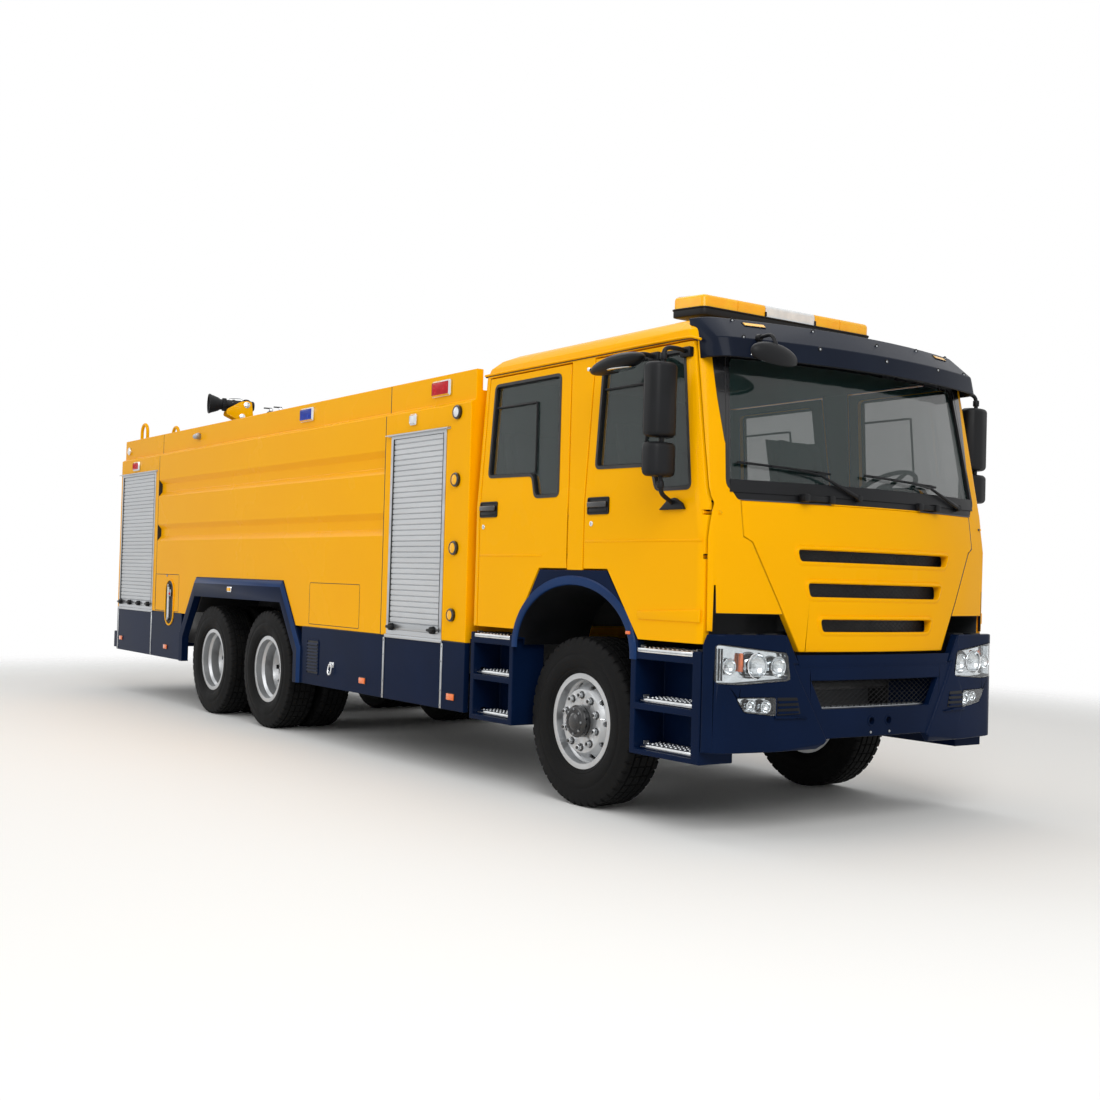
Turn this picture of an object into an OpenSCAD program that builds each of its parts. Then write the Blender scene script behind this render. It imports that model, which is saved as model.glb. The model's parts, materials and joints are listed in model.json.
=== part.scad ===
// Airport fire truck: three-axle chassis, tilting crew cab, tank body with
// roller shutters and a roof monitor. Millimetres, +X forward, +Y left, +Z up.
// The origin lies on the ground in the middle of the truck's length and width.

/* [Overall] */
// Front axle to the face of the front bumper
front_overhang = 1500; // [1490:5:1560]
// Front axle to the first rear axle
wheelbase = 4800; // [4500:10:5400]
// Distance between the two rear axles
bogie_spacing = 1370; // [1320:10:1450]
// Second rear axle to the rear face of the body
rear_overhang = 2980; // [2900:10:3300]
// Reach of the rear bumper behind the body
rear_bumper_reach = 130; // [120:5:180]
// Width of the body
body_w = 2500; // [2480:10:2550]
// Top edge of the body above the ground
body_top = 2945; // [2920:5:3050]

/* [Wheels] */
// Outer diameter of the tyres
tyre_d = 1085; // [1060:5:1100]
// Section width of a tyre
tyre_w = 300; // [280:5:310]
// Diameter of the rim at the bead seat
rim_d = 571; // [550:1:590]
// Distance between the centres of the front tyres
front_track = 2022; // [2000:2:2040]
// Distance between the centres of the twin rear wheels
rear_track = 1830; // [1810:2:1850]
// Distance between the two tyres of a twin wheel
dual_spacing = 345; // [335:5:360]
// Number of wheel nuts
nut_count = 10; // [8:1:12]
// Pitch circle of the wheel nuts
nut_pcd = 335; // [300:5:345]

/* [Chassis] */
// Outer width of the ladder frame
frame_w = 860; // [840:10:880]
// Top of the ladder frame above the ground
frame_top = 1000; // [990:5:1010]
// Height of the frame rails
rail_h = 300; // [280:5:310]
// Width of the frame rail flanges
rail_flange = 80; // [70:5:85]
// Sheet thickness of the frame rails
rail_t = 10; // [8:1:16]
// Kingpin distance inboard of the front tyre centre
kingpin_inset = 131; // [125:1:140]
// Radius of the kingpins
kingpin_r = 25; // [20:1:28]
// Radius of the wheel spindles
spindle_r = 45; // [38:1:50]

/* [Cab] */
// Width of the cab below the windows
cab_w = 2490; // [2470:5:2510]
// Front axle to the rear wall of the cab
cab_rear = 1190; // [1180:5:1250]
// Gap between the cab and the body
cab_gap = 60; // [50:5:100]
// Lower edge of the cab and its doors
cab_bottom = 1105; // [1100:1:1120]
// Height of the waist line under the windscreen
belt_z = 1940; // [1930:5:1960]
// Height of the gutter above the doors
gutter_z = 2865; // [2860:5:2890]
// Top of the cab roof
roof_z = 3025; // [3010:5:3060]
// Amount by which each cab side leans in up to the gutter
cab_lean = 60; // [40:5:80]
// Thickness of the cab walls and doors
cab_wall = 60; // [55:1:65]
// Thickness of the window glass
glass_t = 6; // [5:1:10]
// Gap around the doors
door_gap = 10; // [9:0.5:14]

/* [Body] */
// Lower edge of the skirts
skirt_bottom = 480; // [460:5:500]
// Line between the skirts and the painted body
skirt_top = 975; // [965:5:980]
// Length of the front locker module
front_locker_len = 1280; // [1260:10:1320]
// Length of the rear pump room module
pump_room_len = 1320; // [1300:10:1400]
// Thickness of the locker walls
body_wall = 60; // [50:1:70]
// Gap between body modules
seam = 6; // [4:1:10]
// Depth of the grooves pressed into the tank sides
groove_depth = 40; // [25:1:45]
// Roof deck below the top edge of the body
deck_drop = 150; // [120:5:180]
// Height of one roller shutter slat
slat_h = 42; // [36:1:60]

/* [Hidden] */
$fn = 48;

YELLOW = "#f2a900";
NAVY = "#14233f";
BLACK = "#1a1a1c";
ALU = "#b9bcbf";
STEEL = "#4a4d52";
GLASS = "#5d6a70";
RIGHT = -1;
LEFT = 1;
run_gap = 0.3;              // clearance of a pin in its bore
fit_gap = 0.3;              // clearance of a piece set against a curved neighbour
move_gap = 6;               // clearance around a lid

// Stations along the truck
total_len = front_overhang + wheelbase + bogie_spacing + rear_overhang + rear_bumper_reach;
x_fa = total_len / 2 - front_overhang;
x_ra1 = x_fa - wheelbase;
x_ra2 = x_ra1 - bogie_spacing;
x_rear = x_ra2 - rear_overhang;
x_bogie = (x_ra1 + x_ra2) / 2;
x_body = x_fa - cab_rear - cab_gap;
x_seam_front = x_body - front_locker_len;
x_seam_rear = x_rear + pump_room_len;
axle_z = tyre_d / 2;
half_w = body_w / 2;
cab_half = cab_w / 2;
deck_z = body_top - deck_drop;
rail_y = frame_w / 2;
rail_bottom = frame_top - rail_h;

// Helper functions and modules

function arc(c, r, a0, a1, n) =
    [for (i = [0:n]) c + r * [cos(a0 + (a1 - a0) * i / n), sin(a0 + (a1 - a0) * i / n)]];
function oval(c, rx, rz, a0, a1, n) =
    [for (i = [0:n]) c + [rx * cos(a0 + (a1 - a0) * i / n), rz * sin(a0 + (a1 - a0) * i / n)]];
function unit(v) = v / norm(v);
function turn(u, v) = u[0] * v[1] - u[1] * v[0];
// Outline with each corner replaced by an arc of radius r
function rounded(pts, r, n = 4) = [
    for (i = [0:len(pts) - 1])
        let (p = pts[i],
             a = unit(pts[(i + len(pts) - 1) % len(pts)] - p),
             b = unit(pts[(i + 1) % len(pts)] - p),
             half = acos(a * b) / 2,
             c = p + unit(a + b) * r / sin(half),
             p0 = p + a * r / tan(half),
             p1 = p + b * r / tan(half),
             a0 = atan2(p0[1] - c[1], p0[0] - c[0]),
             d = atan2(turn(p0 - c, p1 - c), (p0 - c) * (p1 - c)))
            for (k = [0:n]) c + r * [cos(a0 + d * k / n), sin(a0 + d * k / n)]
];
// Outline made whole from its half at positive first coordinate
function mirrored(half) = concat(half, [for (i = [len(half) - 1:-1:0]) [-half[i][0], half[i][1]]]);
function box2(a, b) = [[a[0], a[1]], [b[0], a[1]], [b[0], b[1]], [a[0], b[1]]];

// Box between two corners
module block(a, b) {
    translate(a) cube(b - a);
}
// Outline in X and Z, between two Y values
module side_cut(pts, y0, y1) {
    translate([0, y1, 0]) rotate([90, 0, 0]) linear_extrude(y1 - y0) polygon(pts);
}
// Outline in Y and Z, between two X values
module front_cut(pts, x0, x1) {
    translate([x0, 0, 0]) rotate([90, 0, 90]) linear_extrude(x1 - x0) polygon(pts);
}
// Cylinder along Y between two Y values
module rod_y(x, z, r, y0, y1) {
    translate([x, y1, z]) rotate([90, 0, 0]) cylinder(r = r, h = y1 - y0);
}
// Cylinder along X between two X values
module rod_x(y, z, r, x0, x1) {
    translate([x0, y, z]) rotate([0, 90, 0]) cylinder(r = r, h = x1 - x0);
}
// Round bar between two points
module bar(p, q, r) {
    d = q - p;
    translate(p) rotate([0, acos(d[2] / norm(d)), atan2(d[1], d[0])]) cylinder(r = r, h = norm(d));
}
// Round bar with ball corners along points
module bent_bar(pts, r) {
    for (i = [0:len(pts) - 2]) bar(pts[i], pts[i + 1], r);
    for (i = [1:len(pts) - 2]) translate(pts[i]) sphere(1.15 * r);
}
// Cab frame: X is measured from the front axle
module at_cab() {
    translate([x_fa, 0, 0]) children();
}
// Pieces are drawn on the right side, at negative Y
module on_side(s) {
    if (s == RIGHT) children();
    else mirror([0, 1, 0]) children();
}
module both_sides() {
    children();
    mirror([0, 1, 0]) children();
}

// Wheels

rim_r = rim_d / 2;
flange_r = rim_r + 22;
rim_half = 118;             // half the width of a rim over its flanges
rim_wall = 14;
disc_out = 112;             // disc face outboard of the front tyre's centre plane
hub_r = 95;
drum_r = 200;
spindle_len = 215;          // spindle end outboard of the kingpin
tread_half = tyre_w / 2 - 18;
tyre_r = tyre_d / 2;
rear_spindle = 74;          // spindle end outboard of the twin wheel's middle
rear_drum = 180;            // drum edge inboard of the twin wheel's middle

// Turns a profile of radius and outboard distance about the axle, outboard towards -Y
module wheel_turn(pts) {
    rotate([90, 0, 0]) rotate_extrude() polygon(pts);
}
module tyre(out) {
    side = [
        [rim_r, rim_half - 12], [flange_r + 2, rim_half - 12], [flange_r + 6, rim_half + 5], [flange_r + 30, tyre_w / 2 - 18],
        [flange_r + 85, tyre_w / 2], [tyre_r - 95, tyre_w / 2], [tyre_r - 40, tread_half + 10],
        [tyre_r - 8, tread_half], [tyre_r, tread_half - 14], [tyre_r, 75], [tyre_r - 14, 70],
        [tyre_r - 14, 58], [tyre_r, 53], [tyre_r, 8], [tyre_r - 14, 5]
    ];
    far = [for (i = [len(side) - 1:-1:0]) [side[i][0], -side[i][1]]];
    translate([0, -out, 0]) wheel_turn(concat(side, far));
}
// Rim barrel with both flanges
module rim_barrel(out) {
    outer = [[rim_r - 24, 44], [rim_r, 66], [rim_r, rim_half - 12], [flange_r, rim_half - 12], [flange_r, rim_half]];
    inner = [[rim_r - rim_wall, rim_half], [rim_r - rim_wall, 60], [rim_r - 38, 40]];
    half = concat(outer, inner);
    far = [for (i = [len(half) - 1:-1:0]) [half[i][0], -half[i][1]]];
    translate([0, -out, 0]) wheel_turn(concat(half, far));
}
module nuts(out) {
    for (i = [0:nut_count - 1])
        rotate([0, 360 * (i + 0.5) / nut_count, 0]) rod_y(nut_pcd / 2, 0, 17, -out - 30, -out + 6);
}
module hand_holes(y0, y1, r, n) {
    for (i = [0:n - 1]) rotate([0, 360 * i / n, 0]) rod_y(232, 0, r, y0, y1);
}
// Single front wheel
module front_rim() {
    end = spindle_len - kingpin_inset + 6;
    cap = disc_out + 66;
    difference() {
        union() {
            rim_barrel(0);
            wheel_turn([[hub_r - 10, disc_out - 16], [196, disc_out - 16], [rim_r - 30, 30],
                [rim_r - 30, 50], [204, disc_out], [hub_r - 10, disc_out]]);
            wheel_turn([[spindle_r + run_gap, -45], [drum_r, -45], [drum_r, 50], [hub_r, 75], [hub_r, cap - 14],
                [hub_r - 22, cap], [0, cap], [0, end], [spindle_r + run_gap, end]]);
            nuts(disc_out);
        }
        hand_holes(-disc_out - 20, -40, 20, 10);
    }
}
// Twin rear wheel: two barrels bolted disc to disc, deep dish outboard
module rear_rims() {
    difference() {
        union() {
            rim_barrel(-dual_spacing / 2);
            rim_barrel(dual_spacing / 2);
            both_sides() wheel_turn([[hub_r, 0], [200, 0], [rim_r - 30, 126], [rim_r - 30, 146], [192, 18], [hub_r, 18]]);
            wheel_turn([[spindle_r + run_gap, -rear_drum], [drum_r, -rear_drum], [drum_r, -20], [hub_r + 25, 0],
                [hub_r + 25, 120], [hub_r, 138], [0, 138], [0, rear_spindle + 6], [spindle_r + run_gap, rear_spindle + 6]]);
            nuts(18);
        }
        hand_holes(-100, -8, 20, 10);
    }
}
module rear_tyres() {
    tyre(-dual_spacing / 2);
    tyre(dual_spacing / 2);
}
module front_place(s) {
    translate([x_fa, s * front_track / 2, axle_z]) on_side(s) children();
}
module rear_place(x, s) {
    translate([x, s * rear_track / 2, axle_z]) on_side(s) children();
}

// Running gear

kingpin_y = front_track / 2 - kingpin_inset;
eye_r = 48;
eye_half = 55;              // half height of the axle eye around the kingpin
ear_gap = 3;                // gap between the axle eye and the knuckle ears
ear_t = 42;                 // thickness of each knuckle ear
ear_mid = eye_half + ear_gap + ear_t / 2;
ear_top = eye_half + ear_gap + ear_t;
flange_out = 80;            // outer face of the knuckle plate from the kingpin
beam_drop = 100;            // height of the axle beam below its top face
beam_half = 45;
spring_y = rail_y;
spring_half = 40;
leaf_t = 14;
front_leaves = 8;
front_spring_half = 800;
rear_leaves = 5;
seat_z = axle_z + 85;       // top of the rear spring seats
rear_tube_r = 80;

module knuckle(s) {
    color(STEEL) translate([x_fa, s * kingpin_y, axle_z]) on_side(s) {
        for (k = [-1, 1]) translate([0, 0, k * ear_mid]) difference() {
            union() {
                cylinder(r = eye_r, h = ear_t, center = true);
                block([-eye_r, -flange_out + 5, -ear_t / 2], [eye_r, 0, ear_t / 2]);
            }
            cylinder(r = kingpin_r + run_gap, h = ear_t + 2, center = true);
        }
        block([-70, -flange_out, -ear_top], [70, -flange_out + 24, ear_top]);
        rod_y(0, 0, spindle_r, -spindle_len, -flange_out);
    }
}
module front_axle() {
    half = [[380, -beam_drop], [620, -45], [kingpin_y - 20, -45], [kingpin_y - 20, 45], [620, 45], [520, 0]];
    color(STEEL) translate([x_fa, 0, axle_z]) {
        front_cut(mirrored(half), -beam_half, beam_half);
        for (s = [RIGHT, LEFT]) translate([0, s * kingpin_y, 0]) {
            cylinder(r = eye_r, h = 2 * eye_half, center = true);
            cylinder(r = kingpin_r, h = 2 * ear_top + 10, center = true);
        }
    }
}
module rear_axles() {
    tube_end = rear_track / 2 - rear_drum - 6;
    color(STEEL) for (x = [x_ra1, x_ra2]) translate([x, 0, axle_z]) {
        rod_y(0, 0, rear_tube_r, -tube_end, tube_end);
        rod_y(0, 0, spindle_r, -rear_track / 2 - rear_spindle, rear_track / 2 + rear_spindle);
        rod_x(0, 0, 200, -105, 105);
        rod_x(0, 40, 80, 100, 300);
        for (s = [RIGHT, LEFT])
            block([-70, s * spring_y - 55, 0], [70, s * spring_y + 55, seat_z - axle_z]);
    }
}
module leaf_springs() {
    color(STEEL) for (s = [RIGHT, LEFT]) translate([0, s * spring_y, 0]) {
        for (i = [0:front_leaves - 1])
            let (l = front_spring_half - (front_leaves - 1 - i) * 80, z = axle_z + i * leaf_t)
                block([x_fa - l, -spring_half, z], [x_fa + l, spring_half, z + leaf_t]);
        for (i = [0:rear_leaves - 1])
            let (l = bogie_spacing / 2 + 65 - i * 120, z = seat_z + i * leaf_t)
                block([x_bogie - l, -spring_half, z], [x_bogie + l, spring_half, z + leaf_t]);
    }
}

// Cab tilt pivot, from the front axle
tilt_x = 1370;
tilt_z = 1100;
tilt_r = 16;
tilt_y = 380;
tilt_lug_r = 30;
tilt_half = 20;             // half thickness of the bracket on the frame
tilt_lug_t = 22;            // thickness of each lug on the cab
tilt_lug_gap = 5;
rail_front = 1180;          // front end of the frame rails

module chassis_frame() {
    rail = [[rail_y, rail_bottom], [rail_y, frame_top], [rail_y - rail_flange, frame_top],
        [rail_y - rail_flange, frame_top - rail_t], [rail_y - rail_t, frame_top - rail_t],
        [rail_y - rail_t, rail_bottom + rail_t], [rail_y - rail_flange, rail_bottom + rail_t],
        [rail_y - rail_flange, rail_bottom]];
    spring_top = axle_z + front_leaves * leaf_t;
    bogie_top = seat_z + rear_leaves * leaf_t;
    color(BLACK) {
        both_sides() front_cut(rail, x_rear + 60, x_fa + rail_front);
        for (x = [x_fa - 1700, x_fa - 2700, x_ra1 + 700, x_bogie, x_ra2 - 800, x_rear + 160])
            rod_y(x, frame_top - rail_h / 2, 60, -rail_y + rail_t / 2, rail_y - rail_t / 2);
        rod_y(x_fa + rail_front - 45, frame_top - rail_h / 2, 38, -rail_y + rail_t / 2, rail_y - rail_t / 2);
        both_sides() {
            // spring hangers
            for (x = [x_fa - 740, x_fa + 740])
                block([x - 50, spring_y - 40, spring_top], [x + 50, spring_y + 40, rail_bottom]);
            block([x_bogie - 90, spring_y - 45, bogie_top], [x_bogie + 90, spring_y + 45, rail_bottom + 1]);
            // beam that carries the bumper
            block([x_fa + rail_front - 120, rail_y - rail_flange, 640], [x_fa + 1385, rail_y, rail_bottom]);
            // cab pivot bracket and pin
            at_cab() {
                plate = concat([[1080, frame_top - 5], [1180, frame_top - 5]], arc([tilt_x, tilt_z], tilt_lug_r, -60, 120, 8));
                side_cut(plate, tilt_y - tilt_half, tilt_y + tilt_half);
                reach = tilt_half + tilt_lug_gap + tilt_lug_t;
                rod_y(tilt_x, tilt_z, tilt_r, tilt_y - reach, tilt_y + reach);
            }
        }
        block([x_fa + 1345, -520, 640], [x_fa + 1385, 520, rail_bottom]);
        // arms that carry the rear bumper
        both_sides() block([x_rear - rear_bumper_gap, -rail_y, rear_bumper_z[0] + 60], [x_rear + 400, -rail_y + rail_flange, rail_bottom]);
    }
}

engine_half = rail_y - rail_flange - 5;
module engine() {
    color(STEEL) at_cab() {
        block([-300, -engine_half, 640], [1000, engine_half, 1380]);
        block([-1300, -230, 640], [-300, 230, 980]);
        block([1000, -240, 800], [1025, 240, 1200]);
        block([1020, -engine_half, 660], [1085, engine_half, 1250]);
        // mounts on the frame rails
        for (x = [-200, 700]) both_sides()
            block([x, -rail_y, frame_top], [x + 120, -engine_half, frame_top + 60]);
    }
}
module drive_shafts() {
    color(STEEL) {
        rod_x(0, axle_z + 190, 62, x_fa - 1335, x_fa - 1300);
        bar([x_fa - 1320, 0, axle_z + 190], [x_ra1 + 320, 0, axle_z + 40], 50);
        rod_x(0, axle_z + 40, 62, x_ra1 + 300, x_ra1 + 335);
        rod_x(0, axle_z + 40, 50, x_ra2 + 300, x_ra1 - 105);
    }
}

// Front bumper

bumper_face = front_overhang;
bumper_bottom = 500;
bumper_top = 1165;
bumper_wall = 60;
bumper_back = 1276;         // rear edge of the bumper's side wings
bumper_back_top = 1304;     // the same at the top, clear of the tilting doors
bumper_arc = 6000;
bumper_corner = 130;
middle_set = 12;            // set-back of the bumper's middle panel
bumper_half = cab_half;
sill_z = rail_bottom;       // underside of the tread sill

// Plan outline with a bowed front, round front corners and small rear corners
function plan(half, xf, xr, rc, rb, bow) =
    let (cx = xf - bow + sqrt(pow(bow - rc, 2) - pow(half - rc, 2)),
         a = atan2(half - rc, cx - (xf - bow)))
    concat(
        arc([cx, -(half - rc)], rc, -90, -a, 6),
        arc([xf - bow, 0], bow, -a * 5 / 6, a * 5 / 6, 10),
        arc([cx, half - rc], rc, a, 90, 6),
        arc([xr + rb, half - rb], rb, 90, 180, 3),
        arc([xr + rb, -(half - rb)], rb, 180, 270, 3));

module bumper_skin(out, in) {
    difference() {
        linear_extrude(bumper_top) polygon(plan(bumper_half - out, bumper_face - out, 700, bumper_corner - out, 1, bumper_arc));
        translate([0, 0, -1]) linear_extrude(bumper_top + 2)
            polygon(plan(bumper_half - in, bumper_face - in, 690, bumper_corner - in, 1, bumper_arc));
        side_cut([[600, -1], [bumper_back, -1], [bumper_back, cab_bottom - 5], [bumper_back_top, bumper_top + 1],
            [600, bumper_top + 1]], -2000, 2000);
    }
}
lamp_gap = 2;
// Headlamp outline on the right, grown by g
function lamp_outline(g) = rounded([[-1212 - g, 1112 + g], [-750 + g, 1062 + g], [-724 + g, 905 - g], [-1060, 883 - g],
    [-1212 - g, 890 - g]], 22);
function fog_outline(g) = rounded([[-1096 - g, 812 + g], [-824 + g, 810 + g], [-824 + g, 704 - g], [-1035 - g, 728 - g]], 14);
recess_outline = mirrored([[470, 733], [560, 900]]);
middle_outline = mirrored([[435, 540], [650, 900], [700, 1000]]);
chin_cut = mirrored([[492, bumper_bottom - 1], [436, 562]]);

module front_bumper() {
    color(NAVY) at_cab() {
        difference() {
            translate([0, 0, bumper_bottom])
                intersection() {
                    translate([0, 0, -bumper_bottom]) bumper_skin(0, bumper_wall);
                    block([0, -2000, 0], [2000, 2000, bumper_top]);
                }
            // room for the cab's front panel
            front_cut(mirrored([[655, 985], [790, bumper_top + 60]]), 1200, 1700);
            front_cut(recess_outline, 1200, 1700);
            front_cut(chin_cut, 1200, 1700);
            // set-back panel between the lamp corners
            intersection() {
                bumper_skin(-5, middle_set);
                front_cut(middle_outline, 1200, 1700);
            }
            both_sides() {
                front_cut(lamp_outline(0), 1200, 1700);
                front_cut(fog_outline(0), 1200, 1700);
                // tow pin bore
                rod_x(-75, 655, 22, 1300, 1600);
            }
            // chamfer under the middle
            side_cut([[1440, bumper_bottom - 1], [1520, bumper_bottom - 1], [1520, bumper_bottom + 70]], -1300, 1300);
        }
        // tread sill that rests on the frame
        intersection() {
            linear_extrude(2000) polygon(plan(bumper_half - bumper_wall, bumper_face - bumper_wall, 690, bumper_corner, 1, bumper_arc));
            block([1340, -600, sill_z], [1600, 600, sill_z + 30]);
        }
        // ties from the sill to the skin
        for (y = [-560, 500]) intersection() {
            linear_extrude(2000) polygon(plan(bumper_half - 5, bumper_face - middle_set - 5, 690, bumper_corner, 1, bumper_arc));
            block([1340, y, sill_z], [1600, y + 60, sill_z + 30]);
        }
    }
}
module bumper_mesh() {
    color(BLACK) at_cab() intersection() {
        difference() {
            linear_extrude(960) polygon(plan(bumper_half - 64, bumper_face - bumper_wall - 2, 690, bumper_corner, 1, bumper_arc));
            translate([0, 0, -1]) linear_extrude(970)
                polygon(plan(bumper_half - 80, bumper_face - bumper_wall - 14, 680, bumper_corner, 1, bumper_arc));
        }
        block([1200, -600, sill_z + 30], [1700, 600, 950]);
    }
}
module headlamps() {
    color(GLASS) at_cab() both_sides() {
        intersection() {
            bumper_skin(4, bumper_wall);
            union() {
                front_cut(lamp_outline(0), 1200, 1700);
                front_cut(fog_outline(0), 1200, 1700);
            }
        }
    }
}

// Cab body

cab_bow = 4000;             // plan radius of the cab front
cab_corner = 100;
cab_xf = 1475;              // cab front above the bumper
belt_xf = 1445;
gutter_xf = 1270;
// Height, half width, front and rear of each level of the cab
cab_levels = [
    [cab_bottom, cab_half, cab_xf, -cab_rear],
    [1700, cab_half, cab_xf + 5, -cab_rear],
    [belt_z, cab_half, belt_xf, -cab_rear],
    [gutter_z, cab_half - cab_lean, gutter_xf, -cab_rear],
    // rounded roof edge
    for (t = [22.5, 45, 67.5, 90])
        [gutter_z + (roof_z - gutter_z) * sin(t), cab_half - cab_lean - 225 * (1 - cos(t)),
            gutter_xf - 370 * (1 - cos(t)), -cab_rear + 290 * (1 - cos(t))]
];
// Cab at a depth below its skin, with its underside lowered by drop
module cab_solid(inset, drop = 0) {
    hull() for (l = cab_levels)
        translate([0, 0, l[0] - (l[0] > gutter_z ? inset : 0) - (l[0] == cab_bottom ? drop : 0)])
            linear_extrude(0.01)
                polygon(plan(l[1] - inset, l[2] - inset, l[3] + inset, cab_corner - inset * 0.7, 60, cab_bow));
}
// Layer of the cab between two depths
module cab_layer(out, in) {
    difference() {
        cab_solid(out);
        cab_solid(in, 5);
    }
}

floor_under = 1440;
floor_top = 1540;
firewall_x = 1300;
front_low = 1180;           // underside of the cab front between the lamps
corner_low = 1280;          // underside of the front corners
corner_tip = bumper_top + 14; // underside of the outermost corner strip
corner_y = 1175;            // inner edge of that strip
panel_t = 45;
door_top = gutter_z - 15;
door_in = cab_half - cab_lean - cab_wall - 20;   // inner limit of the doors
swing_room = 22;            // free depth behind a door for its turning edge
pillar_x = 126;             // front edge of the pillar between the doors
front_door_edge = 1262;
arch_top = 1510;

front_door = [[700, cab_bottom], [front_door_edge, cab_bottom], [front_door_edge, 1900], [1236, 1990],
    [1068, door_top], [pillar_x + door_gap, door_top], [pillar_x + door_gap, arch_top + door_gap],
    [382, arch_top + door_gap]];
rear_door_edge = -50;
rear_door_back = -1100;
rear_door = [[rear_door_back, cab_bottom], [-632, cab_bottom], [-359, arch_top + door_gap],
    [rear_door_edge, arch_top + door_gap], [rear_door_edge, 1960], [-130, door_top], [rear_door_back, door_top]];
front_opening = [[680, cab_bottom - 200], [front_door_edge + door_gap, cab_bottom - 200],
    [front_door_edge + door_gap, 1902], [1246, 1992], [1077, door_top + door_gap], [pillar_x, door_top + door_gap],
    [pillar_x, arch_top], [300, arch_top - 20]];
rear_opening = [[rear_door_back - door_gap, cab_bottom - 200], [-590, cab_bottom - 200], [-280, arch_top - 20],
    [rear_door_edge + door_gap, arch_top], [rear_door_edge + door_gap, 1960], [-120, door_top + door_gap],
    [rear_door_back - door_gap, door_top + door_gap]];
front_window = rounded([[225, 2150], [770, 2140], [830, 1990], [1140, 1990], [1000, 2805], [225, 2805]], 38);
rear_window = rounded([[-1020, 2150], [-480, 2140], [-430, 1990], [-160, 1990], [-235, 2795], [-1020, 2795]], 38);
screen_outline = rounded([[-1090, 1985], [1090, 1985], [1010, 2790], [-1010, 2790]], 60);
panel_outline = mirrored([[630, 1065], [700, 1200], [955, 1690], [1010, 1720], [1010, 1925]]);
panel_seat = mirrored([[634, 1000], [704, 1198], [960, 1688], [1014, 1718], [1014, 1928]]);
mesh_outline = mirrored([[560, 1160], [720, 1690]]);
scuttle_outline = mirrored([[1030, 1931], [1060, 1981]]);

// Hinges of the doors: pin position, heights
front_hinge = [1230, -(cab_half - 23)];
rear_hinge = [rear_door_edge - 32, -(cab_half - 15)];
hinge_heights = [1600, 1850];
hinge_pin_r = 6;
hinge_pin_half = 55;
hinge_leaf_half = 8;
hinge_neck = 80;            // reach of the gooseneck into the cab

module hinge_leaf(p, x_to) {
    for (z = hinge_heights) {
        translate([p[0], p[1], z]) {
            cylinder(r = hinge_pin_r, h = 2 * hinge_pin_half, center = true);
            cylinder(r = 9, h = 2 * hinge_leaf_half, center = true);
        }
        block([p[0] - 9, p[1], z - hinge_leaf_half], [p[0] + 9, p[1] + hinge_neck, z + hinge_leaf_half]);
        block([p[0] - 9, p[1] + hinge_neck - 18, z - hinge_leaf_half], [x_to, p[1] + hinge_neck, z + hinge_leaf_half]);
    }
}
module hinge_room(p, edge) {
    for (z = hinge_heights) {
        translate([p[0], p[1], z]) cylinder(r = hinge_pin_r + run_gap, h = 2 * hinge_pin_half + 2, center = true);
        block([p[0] - 15, p[1] - 10, z - hinge_leaf_half - 6], [edge + 10, p[1] + 200, z + hinge_leaf_half + 6]);
    }
}

module cab_shell() {
    color(YELLOW) at_cab() {
        difference() {
            cab_solid(0);
            // cabin and the open space below its floor
            intersection() {
                cab_solid(cab_wall);
                union() {
                    block([-2000, -2000, floor_top], [firewall_x, 2000, belt_z - 20]);
                    block([-2000, -2000, belt_z - 20.01], [2000, 2000, 4000]);
                }
            }
            block([-cab_rear + cab_wall, -cab_half + cab_wall, 0], [firewall_x, cab_half - cab_wall, floor_under]);
            block([1000, -700, 0], [2000, 700, front_low]);
            both_sides() {
                block([firewall_x - 40, -corner_y, 0], [2000, -690, corner_low]);
                block([firewall_x - 40, -2000, 0], [2000, -690, corner_tip]);
                side_cut(front_opening, -2000, -cab_half + cab_wall + swing_room);
                side_cut(rear_opening, -2000, -cab_half + cab_wall + swing_room);
                // the sides lean in above the waist
                intersection() {
                    union() {
                        side_cut(front_opening, -2000, -door_in + 5);
                        side_cut(rear_opening, -2000, -door_in + 5);
                    }
                    block([-2000, -2000, belt_z - 30], [2000, 0, 4000]);
                }
                side_cut([[-620, 1000], [-280, arch_top], [300, arch_top], [700, 1000]], -2000, -cab_half + cab_wall + 5);
            }
            front_cut(screen_outline, 900, 1700);
            difference() {
                union() {
                    front_cut(panel_seat, 1100, 1700);
                    front_cut(scuttle_outline, 1200, 1700);
                }
                cab_solid(panel_t);
            }
            difference() {
                front_cut(mesh_outline, 1100, 1700);
                cab_solid(panel_t + 20);
            }
        }
        both_sides() {
            // pillar between the doors
            block([rear_door_edge + door_gap + 4, -cab_half + 4, arch_top + 2], [pillar_x - 4, -cab_half + 130, 1990]);
            hinge_leaf(front_hinge, firewall_x + 5);
            hinge_leaf(rear_hinge, rear_door_edge + door_gap + 10);
            // tilt lugs on both sides of the frame bracket
            for (k = [-1, 1]) {
                mid = -tilt_y + k * (tilt_half + tilt_lug_gap + tilt_lug_t / 2);
                lug = concat([[tilt_x + tilt_lug_r, front_low + 5], [tilt_x - tilt_lug_r, front_low + 5]],
                    arc([tilt_x, tilt_z], tilt_lug_r, 180, 360, 12));
                difference() {
                    side_cut(lug, mid - tilt_lug_t / 2, mid + tilt_lug_t / 2);
                    rod_y(tilt_x, tilt_z, tilt_r + run_gap, mid - 50, mid + 50);
                }
            }
        }
    }
}
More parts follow.
